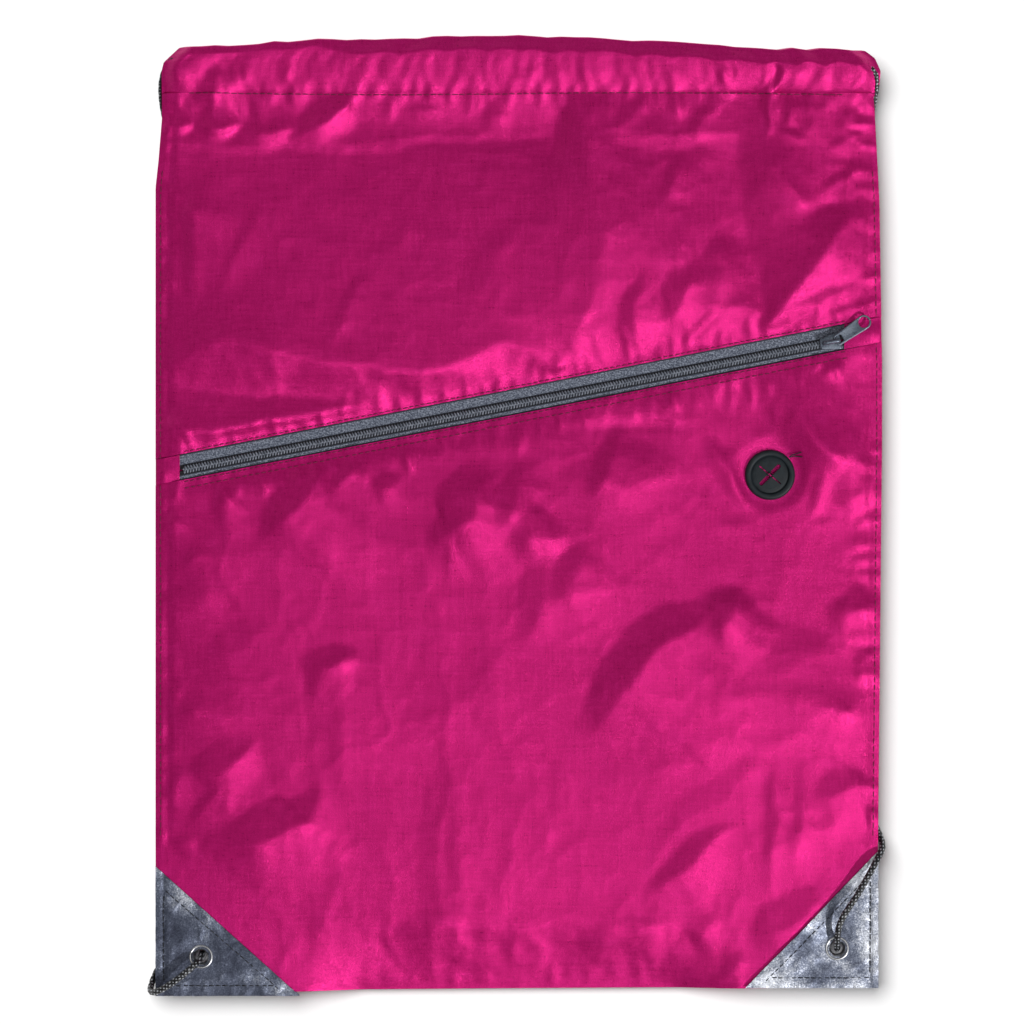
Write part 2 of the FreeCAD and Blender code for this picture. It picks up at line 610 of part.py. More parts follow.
def make_port(document):
    """The cable port: a rubber disc clamped in the cloth, its middle slit in a cross."""
    body = new_body(document, "earphone_port")
    low = f"{FRONT_TOP} - port_sink"
    cloth_top = f"{FRONT_TOP} + cloth"
    rim = f"{cloth_top} + port_rim"
    web = f"{cloth_top} + port_bevel"
    inside = "port_neck - port_wall"
    collar = "port_neck + port_collar"
    sketch = new_sketch(body, "PortProfile", "XZ_Plane")
    add_polygon(sketch, [
        ("0", f"{web} - port_web"), (inside, f"{web} - port_web"), (inside, low),
        (collar, low), (collar, FRONT_TOP), ("port_neck", FRONT_TOP),
        ("port_neck", cloth_top), ("port_flange", cloth_top),
        ("port_flange", f"{rim} - port_bevel"), ("port_flange - port_bevel", rim),
        ("port_dish + port_slope", rim), ("port_dish", web), ("0", web),
    ])
    turn = body.newObject("PartDesign::Revolution", "PortTurn")
    turn.Profile = sketch
    turn.ReferenceAxis = (sketch, ["V_Axis"])
    turn.Angle = 360.0
    for name, width, angle in (("WideSlit", "wide_slit", 45.0), ("ThinSlit", "thin_slit", -40.0)):
        slit = new_sketch(body, name, "XY_Plane")
        turned = FreeCAD.Rotation(Vector(0, 0, 1), angle)
        slit.AttachmentOffset = FreeCAD.Placement(Vector(0, 0, 0), turned)
        add_polygon(slit, rectangle("-slit_half", "slit_half", f"-{width} / 2", f"{width} / 2"))
        pocket(body, slit)
    place(body, "port_x", "port_y", "0")
    return body


def stitch_run(document, name, start, end, level):
    """One run of stitching: a thin bar on the cloth from start to end, both (X, Y)."""
    bar = document.addObject("Part::Box", name)
    across = end[0] - start[0]
    along = end[1] - start[1]
    bar.Length = math.hypot(across, along)
    bar.setExpression("Width", bound("thread"))
    bar.setExpression("Height", bound("thread"))
    bar.Placement.Rotation = FreeCAD.Rotation(Vector(0, 0, 1), math.degrees(math.atan2(along, across)))
    bar.Placement.Base = Vector(start[0], start[1], 0)
    bar.setExpression("Placement.Base.z", bound(level))
    return bar


def stitch_group(document, label, runs):
    """Runs of stitching that are one thread: (start, end, level) each."""
    group = document.addObject("Part::Compound", label)
    group.Label = label
    group.Links = [
        stitch_run(document, f"{label}_run{number}", start, end, level)
        for number, (start, end, level) in enumerate(runs)
    ]
    return group


def make_stitching(document, size):
    """The visible runs of stitching, each group in a node of its own."""
    half = size["half_width"]
    low = -size["half_length"]
    hem = size["hem_start"] - size["hem_inset"]
    slope = math.radians(size["zip_angle"])
    front = f"{FRONT_TOP} + cloth"
    seam = f"{FRONT_SEAM} + cloth"
    patch = f"{seam} + patch_cloth"
    inset = size["patch_inset"]

    def beside_zip(across, offset):
        rise = size["zip_rise"] + across * math.tan(slope) + offset / math.cos(slope)
        return (across, rise)

    edge = half - size["side_inset"]
    above = size["slot_above"] + size["upper_inset"]
    below = -size["slot_below"] - size["lower_inset"]
    groups = [
        stitch_group(document, "stitching_front_hem", [((-150, hem), (150, hem), front)]),
        stitch_group(document, "stitching_back_hem", [((-128, hem), (128, hem), "cloth")]),
        stitch_group(document, "stitching_zip_upper", [
            (beside_zip(-153, above), beside_zip(153, above), front)]),
        stitch_group(document, "stitching_zip_lower", [
            (beside_zip(-153, below), beside_zip(153, below), front)]),
        stitch_group(document, "stitching_side_left", [((-edge, -150), (-edge, 160), seam)]),
        stitch_group(document, "stitching_side_right", [((edge, -143), (edge, 160), seam)]),
    ]
    for side, sign in (("left", -1), ("right", 1)):
        toe = size[f"{side}_patch_x"]
        top = size[f"{side}_patch_y"]
        base_line = low + inset
        side_line = sign * (half - inset)
        groups.append(stitch_group(document, f"stitching_patch_{side}", [
            ((toe + sign * 14, base_line), (side_line, base_line), patch),
            ((side_line, base_line + 1), (side_line, top - 14), patch),
            ((toe + sign * 12, low + 6), (side_line - sign * 1.5, top - 13), patch),
        ]))
    return groups


def rounded_route(points):
    """Straight runs joined by tangent arcs; returns the wire, its length and least radius."""
    corners = [Vector(*point) for point in points]
    edges = []
    last = corners[0]
    least = math.inf
    for before, corner, after in zip(corners, corners[1:], corners[2:]):
        inward = before - corner
        outward = after - corner
        turn = math.pi - inward.getAngle(outward)
        reach = ARC_SHARE * min(inward.Length, outward.Length)
        radius = reach / math.tan(turn / 2)
        least = min(least, radius)
        start = corner + Vector(inward).normalize() * reach
        end = corner + Vector(outward).normalize() * reach
        bisector = (Vector(inward).normalize() + Vector(outward).normalize()).normalize()
        middle = corner + bisector * (radius / math.cos(turn / 2) - radius)
        edges.append(Part.LineSegment(last, start).toShape())
        edges.append(Part.Arc(start, middle, end).toShape())
        last = end
    edges.append(Part.LineSegment(last, corners[-1]).toShape())
    wire = Part.Wire(edges)
    return wire, wire.Length, least


def make_cord(document, label, points, size):
    """A cord swept along its route, checked against its section times its length."""
    wire, length, least = rounded_route(points)
    radius = size["cord"] / 2
    first = Vector(*points[0])
    heading = (Vector(*points[1]) - first).normalize()
    ring = Part.Wire([Part.makeCircle(radius, first, heading)])
    shape = wire.makePipeShell([ring], True, True)
    expected = math.pi * radius ** 2 * length
    share = shape.Volume / expected
    print(f"{label}: length {length:.1f}, least radius {least:.2f}, volume share {share:.4f}")
    if abs(share - 1) > 0.01:
        raise SystemExit(f"{label}: the tube's volume is off")
    cord = document.addObject("Part::Feature", label)
    cord.Shape = shape
    cord.Label = label
    return cord


def make_knot(document, label, across, along, turn):
    """The knot that joins a cord's two ends, lying on the floor behind a corner."""
    knot = document.addObject("Part::Ellipsoid", label)
    knot.Label = label
    knot.setExpression("Radius1", bound("knot_height / 2"))
    knot.setExpression("Radius2", bound("knot_half"))
    knot.setExpression("Radius3", bound("knot_half * 0.8"))
    knot.Angle1 = -90
    knot.Angle2 = 90
    knot.Placement = FreeCAD.Placement(
        Vector(across, along, 0), FreeCAD.Rotation(Vector(0, 0, 1), turn))
    knot.setExpression("Placement.Base.z", bound("knot_height / 2"))
    return knot


def check_document(document):
    """Stop if any object failed without saying so."""
    for item in document.Objects:
        if "Invalid" in item.State or "Error" in item.State:
            raise SystemExit(f"{item.Label} did not build: {item.State}")


def export(parts):
    """Check each sub-part's shape and write it under its label."""
    os.makedirs("parts", exist_ok=True)
    for item in parts:
        shape = item.Shape
        if shape.isNull() or not shape.isValid() or not shape.Solids:
            raise SystemExit(f"{item.Label} has no valid solid")
        box = shape.BoundBox
        print(f"{item.Label}: {len(shape.Solids)} solid, {shape.Volume:.0f} mm3,"
              f" X {box.XMin:.1f} {box.XMax:.1f}, Y {box.YMin:.1f} {box.YMax:.1f},"
              f" Z {box.ZMin:.2f} {box.ZMax:.2f}")
        shape.exportStep(f"parts/{item.Label}.step")


def main():
    document = FreeCAD.newDocument("DrawstringBackpack")
    size = make_sizes(document)
    parts = make_cloth(document)
    parts.append(make_tab(document, "zip_tab_left", "tab_inner_left", -1))
    parts.append(make_tab(document, "zip_tab_right", "tab_inner_right", 1))
    parts.append(make_casing(document, "front_casing", "front_casing_level"))
    parts.append(make_casing(document, "back_casing", "0"))
    parts.extend(make_patches(document))
    parts.extend(make_eyelets(document))
    parts.extend(make_zip(document))
    parts.append(make_slider(document))
    parts.append(make_pull(document))
    parts.append(make_port(document))
    parts.extend(make_stitching(document, size))
    parts.append(make_cord(document, "cord_left", LEFT_ROUTE, size))
    parts.append(make_cord(document, "cord_right", RIGHT_ROUTE, size))
    parts.append(make_knot(document, "cord_knot_left", -141.2, -177.6, 88))
    parts.append(make_knot(document, "cord_knot_right", 143.4, -174.8, 88))
    document.recompute()
    check_document(document)
    export(parts)


main()
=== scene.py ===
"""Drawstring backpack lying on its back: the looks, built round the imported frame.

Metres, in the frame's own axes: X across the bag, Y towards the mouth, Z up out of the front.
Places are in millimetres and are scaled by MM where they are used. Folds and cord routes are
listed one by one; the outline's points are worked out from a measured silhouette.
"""
import bmesh
import bpy
import math
import numpy as np
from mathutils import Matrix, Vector


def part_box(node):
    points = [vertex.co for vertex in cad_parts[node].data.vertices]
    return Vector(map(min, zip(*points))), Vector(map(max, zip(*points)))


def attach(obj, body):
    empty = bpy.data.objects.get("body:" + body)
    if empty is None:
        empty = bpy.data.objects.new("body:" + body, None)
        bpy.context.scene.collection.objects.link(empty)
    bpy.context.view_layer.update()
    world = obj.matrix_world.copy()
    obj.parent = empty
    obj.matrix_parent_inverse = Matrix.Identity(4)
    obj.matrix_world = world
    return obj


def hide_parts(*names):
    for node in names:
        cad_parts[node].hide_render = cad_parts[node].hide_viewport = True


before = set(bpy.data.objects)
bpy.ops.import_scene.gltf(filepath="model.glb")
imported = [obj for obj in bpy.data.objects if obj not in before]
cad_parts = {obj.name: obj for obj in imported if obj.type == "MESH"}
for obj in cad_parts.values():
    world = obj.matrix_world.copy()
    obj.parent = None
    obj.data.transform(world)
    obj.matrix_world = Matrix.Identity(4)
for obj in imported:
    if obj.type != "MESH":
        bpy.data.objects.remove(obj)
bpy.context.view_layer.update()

MM = 0.001

# ---------------------------------------------------------------- camera, light, floor
# the camera looks straight down and spans VIEW_WIDTH at the level of the bag's front
VIEW_WIDTH = 0.4674
VIEW_CENTRE = (-0.0025, 0.0018)
CAMERA_HEIGHT = 2.0
FRONT_LEVEL = 0.014
CAMERA_REACH = 20.0
SENSOR = 36.0
FILL_STRENGTH = 0.19
FLOOR_HALF = 6.0
FLOOR_DROP = 0.0002


def make_camera():
    """A long lens straight above the bag, as the picture is framed."""
    data = bpy.data.cameras.new("camera")
    data.sensor_width = SENSOR
    data.lens = SENSOR * (CAMERA_HEIGHT - FRONT_LEVEL) / VIEW_WIDTH
    data.clip_end = CAMERA_REACH
    camera = bpy.data.objects.new("camera", data)
    camera.location = (*VIEW_CENTRE, CAMERA_HEIGHT)
    bpy.context.scene.collection.objects.link(camera)
    bpy.context.scene.camera = camera


def aim(item, target):
    """Turn a light so that it shines at a point."""
    direction = Vector(target) - item.location
    item.rotation_euler = direction.to_track_quat("-Z", "Y").to_euler()


def make_light(name, kind, place, energy, **settings):
    """A light aimed at the middle of the bag and hidden from the camera."""
    data = bpy.data.lights.new(name, kind)
    data.energy = energy
    for key, value in settings.items():
        setattr(data, key, value)
    light = bpy.data.objects.new(name, data)
    light.location = place
    light.visible_camera = False
    bpy.context.scene.collection.objects.link(light)
    aim(light, (0, 0, 0))
    return light


def keep_apart(light, floor, lights_floor):
    """Let a light reach only the floor, or everything but the floor."""
    group = bpy.data.collections.new(light.name + "_reach")
    group.objects.link(floor)
    light.light_linking.receiver_collection = group
    if not lights_floor:
        for member in group.collection_objects:
            member.light_linking.link_state = "EXCLUDE"


def make_world():
    """A white backdrop to the camera, which lights the bag only weakly."""
    world = bpy.data.worlds.new("studio")
    bpy.context.scene.world = world
    world.use_nodes = True
    nodes = world.node_tree.nodes
    links = world.node_tree.links
    backdrop = nodes["Background"]
    backdrop.inputs["Color"].default_value = (1.0, 1.0, 1.0, 1)
    backdrop.inputs["Strength"].default_value = 1.0
    fill = nodes.new("ShaderNodeBackground")
    fill.inputs["Color"].default_value = (1.0, 0.99, 0.98, 1)
    fill.inputs["Strength"].default_value = FILL_STRENGTH
    ray = nodes.new("ShaderNodeLightPath")
    mix = nodes.new("ShaderNodeMixShader")
    links.new(ray.outputs["Is Camera Ray"], mix.inputs["Fac"])
    links.new(fill.outputs["Background"], mix.inputs[1])
    links.new(backdrop.outputs["Background"], mix.inputs[2])
    links.new(mix.outputs["Shader"], nodes["World Output"].inputs["Surface"])


def make_studio():
    """The pale floor, and lights that treat the floor and the bag apart."""
    make_world()
    bpy.context.scene.view_settings.view_transform = "Standard"

    mesh = bpy.data.meshes.new("floor")
    corners = [(x * FLOOR_HALF, y * FLOOR_HALF, 0) for x, y in ((-1, -1), (1, -1), (1, 1), (-1, 1))]
    mesh.from_pydata(corners, [], [(0, 1, 2, 3)])
    floor = bpy.data.objects.new("floor", mesh)
    floor.location.z = -FLOOR_DROP
    bpy.context.scene.collection.objects.link(floor)
    floor.data.materials.append(floor_material())

    key = make_light("key_sun", "SUN", (0.9, -0.8, 1.2), 1.75, angle=math.radians(1.4))
    softbox = make_light("softbox", "AREA", (0.30, -0.34, 1.8), 4.45, shape="RECTANGLE",
                         size=0.9, size_y=0.85)
    back_sheen = make_light("back_sheen", "AREA", (-1.35, 1.35, 0.85), 2.6, shape="RECTANGLE",
                            size=1.6, size_y=0.7)
    over_floor = make_light("floor_light", "SUN", (-0.35, 0.35, 1.0), 3.5,
                            angle=math.radians(50.0))
    for light in (key, softbox, back_sheen):
        keep_apart(light, floor, False)
    keep_apart(over_floor, floor, True)


# ---------------------------------------------------------------- node helpers
class Shader:
    """A small helper that adds nodes to one material and joins them."""

    def __init__(self, name):
        self.material = bpy.data.materials.new(name)
        self.material.use_nodes = True
        self.tree = self.material.node_tree
        self.surface = self.tree.nodes["Principled BSDF"]
        self.place = self.add("ShaderNodeTexCoord").outputs["Object"]

    def add(self, kind, **settings):
        """Add a node of a kind, with its settings."""
        node = self.tree.nodes.new(kind)
        for key, value in settings.items():
            setattr(node, key, value)
        return node

    def join(self, source, target):
        self.tree.links.new(source, target)

    def fixed(self, **values):
        """Set the surface's own sockets, named with _ for a space."""
        for key, value in values.items():
            self.surface.inputs[key.replace("_", " ")].default_value = value

    def noise(self, scale, detail=2.0, rough=0.5, place=None):
        node = self.add("ShaderNodeTexNoise")
        node.inputs["Scale"].default_value = scale
        node.inputs["Detail"].default_value = detail
        node.inputs["Roughness"].default_value = rough
        self.join(place or self.place, node.inputs["Vector"])
        return node.outputs["Fac"]

    def stretched(self, scale):
        """The object's coordinates, scaled differently along each axis."""
        node = self.add("ShaderNodeMapping")
        node.inputs["Scale"].default_value = scale
        self.join(self.place, node.inputs["Vector"])
        return node.outputs["Vector"]

    def wave(self, pitch, direction, distortion=0.0, place=None):
        """Even bands, a pitch in metres apart."""
        node = self.add("ShaderNodeTexWave", bands_direction=direction)
        node.inputs["Scale"].default_value = 2 * math.pi / (20 * pitch)
        node.inputs["Distortion"].default_value = distortion
        node.inputs["Detail Scale"].default_value = 2.0
        self.join(place or self.place, node.inputs["Vector"])
        return node.outputs["Fac"]

    def math(self, operation, first, second):
        node = self.add("ShaderNodeMath", operation=operation)
        for socket, value in zip(node.inputs, (first, second)):
            if isinstance(value, (int, float)):
                socket.default_value = value
            else:
                self.join(value, socket)
        return node.outputs["Value"]

    def shares(self, first, share, second, other):
        """Two values added in the shares given."""
        return self.math("ADD", self.math("MULTIPLY", first, share),
                         self.math("MULTIPLY", second, other))

    def ramp(self, factor, *stops):
        node = self.add("ShaderNodeValToRGB")
        elements = node.color_ramp.elements
        while len(elements) < len(stops):
            elements.new(0.5)
        for element, (position, colour) in zip(elements, stops):
            element.position = position
            element.color = (*colour, 1)
        self.join(factor, node.inputs["Fac"])
        return node.outputs["Color"]

    def range(self, value, low, high, to_low, to_high):
        node = self.add("ShaderNodeMapRange")
        for key, number in (("From Min", low), ("From Max", high), ("To Min", to_low),
                            ("To Max", to_high)):
            node.inputs[key].default_value = number
        self.join(value, node.inputs["Value"])
        return node.outputs["Result"]

    def bump(self, height, distance, strength=1.0, under=None):
        node = self.add("ShaderNodeBump")
        node.inputs["Distance"].default_value = distance
        node.inputs["Strength"].default_value = strength
        self.join(height, node.inputs["Height"])
        if under:
            self.join(under, node.inputs["Normal"])
        return node.outputs["Normal"]

    def finish(self, colour=None, roughness=None, normal=None):
        for name, value in (("Base Color", colour), ("Roughness", roughness), ("Normal", normal)):
            if value is not None:
                self.join(value, self.surface.inputs[name])
        return self.material


def grey(level):
    return (level, level, level)


# ---------------------------------------------------------------- materials
def floor_material():
    """Plain pale paper."""
    shader = Shader("floor_paper")
    shader.fixed(Roughness=0.9)
    tone = shader.noise(3.0)
    return shader.finish(colour=shader.ramp(tone, (0.3, grey(0.9)), (0.7, grey(0.915))))


def cloth_material():
    """Satin woven polyester: pink highlights, a fine plain weave and slight streaks."""
    shader = Shader("bag_cloth")
    shader.fixed(Metallic=0.5, Specular_IOR_Level=0.2)
    across = shader.wave(0.00042, "X", 1.2)
    along = shader.wave(0.00047, "Y", 1.2)
    weave = shader.math("ADD", across, along)
    grain = shader.noise(2600.0, 2.0, 0.6)
    slub = shader.noise(1.0, 3.0, 0.6, shader.stretched((900.0, 60.0, 900.0)))
    streak = shader.noise(1.0, 3.0, 0.6, shader.stretched((60.0, 900.0, 900.0)))
    threads = shader.shares(slub, 0.5, streak, 0.5)
    tone = shader.shares(grain, 0.55, threads, 0.45)
    colour = shader.ramp(tone, (0.30, (0.47, 0.004, 0.125)), (0.50, (0.63, 0.008, 0.180)),
                         (0.72, (0.80, 0.020, 0.28)))
    roughness = shader.range(threads, 0.35, 0.65, 0.27, 0.36)
    fine = shader.bump(weave, 0.00005, 0.5)
    normal = shader.bump(grain, 0.00015, 0.60, fine)
    return shader.finish(colour, roughness, normal)


def thread_material(name, dark, light):
    """Sewing thread, mottled between two colours by its twist."""
    shader = Shader(name)
    shader.fixed(Roughness=0.55)
    twist = shader.noise(2500.0, 2.0)
    colour = shader.ramp(twist, (0.3, dark), (0.7, light))
    return shader.finish(colour, normal=shader.bump(twist, 0.0001))


# width in millimetres of the painted shade along each edge of the zip tape's slot
TAPE_SHADE = 0.8


def tape_material():
    """Woven zip tape: fine ribs along the zip, flecked grey, with painted shade beside the slot and
    coils.
    """
    shader = Shader("zip_tape")
    shader.fixed(Roughness=0.5, Metallic=0.25)
    turned = shader.add("ShaderNodeMapping")
    turned.inputs["Rotation"].default_value = (0, 0, -ZIP_SLOPE)
    shader.join(shader.place, turned.inputs["Vector"])
    place = turned.outputs["Vector"]
    ribs = shader.wave(0.0007, "Y", 2.0, place)
    cross = shader.wave(0.0006, "X", 1.0, place)
    fleck = shader.noise(1300.0, 3.0, 0.8)
    weave = shader.shares(ribs, 0.5, cross, 0.5)
    tone = shader.shares(weave, 0.15, fleck, 0.85)
    parts = shader.add("ShaderNodeSeparateXYZ")
    shader.join(place, parts.inputs["Vector"])
    middle = ZIP_RISE * math.cos(ZIP_SLOPE) * MM
    beside = shader.math("SUBTRACT", parts.outputs["Y"], middle)
    # painted shade: the tape's colour is darkened along both edges of the cloth's slot and either
    # side of the coils, where shadow falls
    for edge, way in ((ZIP_ABOVE, -1), (ZIP_BELOW, 1)):
        lit = shader.range(beside, edge * MM, (edge + way * TAPE_SHADE) * MM, 0.15, 1.0)
        tone = shader.math("MULTIPLY", tone, lit)
    from_coil = shader.math("ABSOLUTE", beside, 0.0)
    lit = shader.range(from_coil, 2.0 * MM, 2.7 * MM, 0.15, 1.0)
    tone = shader.math("MULTIPLY", tone, lit)
    colour = shader.ramp(tone, (0.10, (0.004, 0.005, 0.009)), (0.38, (0.050, 0.060, 0.090)),
                         (0.50, (0.110, 0.130, 0.185)), (0.60, (0.36, 0.40, 0.49)))
    normal = shader.bump(weave, 0.00012, 0.5, shader.bump(fleck, 0.00012, 0.7))
    return shader.finish(colour, normal=normal)


def coil_material():
    """Nylon monofilament, worn paler where the slider rubs it."""
    shader = Shader("zip_coil")
    shader.fixed(IOR=1.52)
    wear = shader.noise(900.0, 3.0)
    colour = shader.ramp(wear, (0.35, (0.10, 0.115, 0.150)), (0.7, (0.34, 0.37, 0.44)))
    return shader.finish(colour, shader.range(wear, 0.3, 0.7, 0.28, 0.45),
                         shader.bump(wear, 0.00005, 0.4))


def enamel_material():
    """Grey enamel over die-cast metal, slightly orange-peeled, thin at the edges."""
    shader = Shader("zip_enamel")
    shader.fixed(Metallic=0.55, Coat_Weight=0.6, Coat_Roughness=0.12)
    peel = shader.noise(700.0, 2.0)
    chips = shader.noise(2600.0, 4.0, 0.7)
    tone = shader.shares(peel, 0.6, chips, 0.4)
    colour = shader.ramp(tone, (0.32, (0.085, 0.105, 0.145)), (0.62, (0.15, 0.18, 0.235)),
                         (0.78, (0.34, 0.37, 0.43)))
    return shader.finish(colour, shader.range(peel, 0.3, 0.7, 0.24, 0.38),
                         shader.bump(peel, 0.00012, 0.35))


def patch_material(painted_light_lift):
    """Coated leather-look cloth: crackled, with painted sheen patches and painted highlight specks.
    """
    shader = Shader("patch_leather")
    shader.fixed(Metallic=0.55)
    cloud = shader.noise(48.0, 5.0, 0.62)
    grain = shader.noise(1300.0, 4.0, 0.85)
    cells = shader.add("ShaderNodeTexVoronoi", feature="DISTANCE_TO_EDGE")
    cells.inputs["Scale"].default_value = 520.0
    shader.join(shader.place, cells.inputs["Vector"])
    crackle = shader.range(cells.outputs["Distance"], 0.0, 0.05, 0.6, 1.0)
    tone = shader.shares(cloud, 0.55, grain, 0.45)
    # painted light: the argument lifts the whole tone, so one corner's copy is painted as more
    # brightly lit
    tone = shader.math("ADD", tone, painted_light_lift)
    # the palest stop paints the bright highlight specks and the pale sheen patches
    colour = shader.ramp(tone, (0.40, (0.045, 0.052, 0.085)), (0.50, (0.110, 0.127, 0.185)),
                         (0.57, (0.26, 0.29, 0.38)), (0.65, (0.85, 0.88, 0.96)))
    roughness = shader.range(cloud, 0.35, 0.65, 0.48, 0.32)
    crumple = shader.bump(cloud, 0.0018, 0.6)
    normal = shader.bump(shader.math("ADD", crackle, grain), 0.00012, 0.6, crumple)
    return shader.finish(colour, roughness, normal)


def metal_material():
    """Bright plated metal with fine rubbing marks."""
    shader = Shader("eyelet_metal")
    shader.fixed(Metallic=1.0)
    rub = shader.noise(1200.0, 3.0)
    colour = shader.ramp(rub, (0.3, (0.62, 0.63, 0.66)), (0.7, (0.86, 0.86, 0.88)))
    return shader.finish(colour, shader.range(rub, 0.3, 0.7, 0.26, 0.38),
                         shader.bump(rub, 0.00004, 0.4))


def rubber_material():
    """Matt moulded rubber with a light bloom."""
    shader = Shader("port_rubber")
    shader.fixed(Specular_IOR_Level=0.35)
    bloom = shader.noise(400.0, 4.0)
    grain = shader.noise(3000.0, 2.0)
    colour = shader.ramp(bloom, (0.3, (0.006, 0.010, 0.014)), (0.7, (0.016, 0.024, 0.030)))
    return shader.finish(colour, shader.range(bloom, 0.3, 0.7, 0.45, 0.6),
                         shader.bump(grain, 0.00006, 0.6))


def cord_material():
    """Black polyester braid, its filaments' glints painted in as pale grey flecks."""
    shader = Shader("cord_braid")
    shader.fixed(Specular_IOR_Level=0.5)
    fibre = shader.noise(1500.0, 3.0, 0.7)
    strands = shader.math("MULTIPLY", shader.wave(0.0015, "X", 3.0), shader.wave(0.0015, "Y", 3.0))
    tone = shader.shares(strands, 0.6, fibre, 0.4)
    # the palest stop is painted glint on the black braid
    colour = shader.ramp(tone, (0.30, (0.003, 0.003, 0.005)), (0.45, (0.014, 0.015, 0.020)),
                         (0.64, (0.46, 0.48, 0.52)))
    return shader.finish(colour, shader.range(fibre, 0.3, 0.7, 0.28, 0.5),
                         shader.bump(fibre, 0.00012, 0.7))


# ---------------------------------------------------------------- the bag's outline and levels
def node_centre(name):
    """X and Y of a CAD node's middle, in millimetres."""
    lowest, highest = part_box(name)
    return tuple(round((lowest[axis] + highest[axis]) / 2 / MM, 1) for axis in range(2))


# the zip's line rises ZIP_ANGLE degrees and crosses the middle at ZIP_RISE; its slot's two
# edges lie ZIP_ABOVE and ZIP_BELOW from it
ZIP_ANGLE = 11.15
ZIP_SLOPE = math.radians(ZIP_ANGLE)
ZIP_RISE = 51.05
ZIP_ABOVE = 7.2
ZIP_BELOW = -4.5
# where the casing is sewn, the level of the side seams, and the cloth's thickness
HEM = round(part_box("front_casing")[0].y / MM, 1)
SEAM_TOP = 11.35
CLOTH = 0.55

# Outline of the front as it lies: (Y, X) up each side, (X, Y) along each end. The points were
# picked from a measured silhouette of the bag and converted to millimetres.
LEFT_EDGE = [(-219, -165.2), (-150, -165.4), (150, -165.4), (162, -164.1), (181, -162.5),
             (203, -162.5), (207, -161.5), (215, -153), (220, -150)]
RIGHT_EDGE = [(-219, 164.5), (-150, 164.8), (35, 166.6), (71, 166.6), (144, 165.4), (186, 163.2),
              (191, 162.7), (198, 165.4), (203, 165.8), (209, 163.2), (213, 158), (220, 155)]
BOTTOM_EDGE = [(-166, -218.9), (-145, -218.9), (-100, -217.4), (0, -216.6), (100, -216.0),
               (166, -215.2)]
TOP_EDGE = [(-164, 214.0), (-150, 214.5), (-100, 217.2), (-26, 219.0), (10, 219.0), (65, 217.0),
            (120, 213.4), (165, 212.9)]

# a cloth's sections: Y, then half-widths and underside levels at seam edge, fold and crown
LINING_SECTIONS = [(-219, 165, 97, 70, 10.1, 10.1, 2.1), (-185, 165, 132, 105, 10.1, 10.1, 10.3),
                   (-150, 165, 160, 130, 10.1, 10.1, 11.0), (165, 165, 160, 130, 10.1, 10.1, 11.0)]
BACK_SECTIONS = [(-219, 165, 97, 70, 9.3, 9.3, 1.3), (-185, 165, 132, 105, 9.3, 9.3, 0.0),
                 (-150, 165, 160, 130, 9.3, 9.3, 0.0), (165, 165, 160, 130, 9.3, 9.3, 0.0),
                 (193, 150, 147, 130, 0.0, 0.0, 0.0)]
EYELETS = {side: node_centre(f"eyelet_{side}") for side in ("left", "right")}
PORT = node_centre("earphone_port")
# radii of the holes cut in the cloth for the fittings
FRONT_HOLE = 3.9
LINING_HOLE = 4.2
PORT_HOLE = 8.0


def along_table(value, table):
    return np.interp(value, [row[0] for row in table], [row[1] for row in table])


def zip_line(across, offset=0.0):
    """Y of a line beside the zip, at a distance square to it."""
    return ZIP_RISE + across * math.tan(ZIP_SLOPE) + offset / math.cos(ZIP_SLOPE)


def zip_point(along, beside, up):
    """A point in millimetres from its place along the zip, beside it and above the floor."""
    return (along * math.cos(ZIP_SLOPE) - beside * math.sin(ZIP_SLOPE),
            ZIP_RISE + along * math.sin(ZIP_SLOPE) + beside * math.cos(ZIP_SLOPE), up)


def section_level(sections, across, along):
    """Underside level of a cloth that runs straight from section to section."""
    stops = [row[0] for row in sections]
    edge, fold, crown, edge_z, fold_z, crown_z = (
        np.interp(along, stops, [row[column] for row in sections]) for column in range(1, 7))
    reach = np.abs(across)
    inner = np.clip((reach - crown) / (fold - crown), 0, 1)
    outer = np.clip((reach - fold) / (edge - fold), 0, 1)
    return crown_z + inner * (fold_z - crown_z) + outer * (edge_z - fold_z)


def smooth(value):
    value = np.clip(value, 0, 1)
    return value * value * (3 - 2 * value)


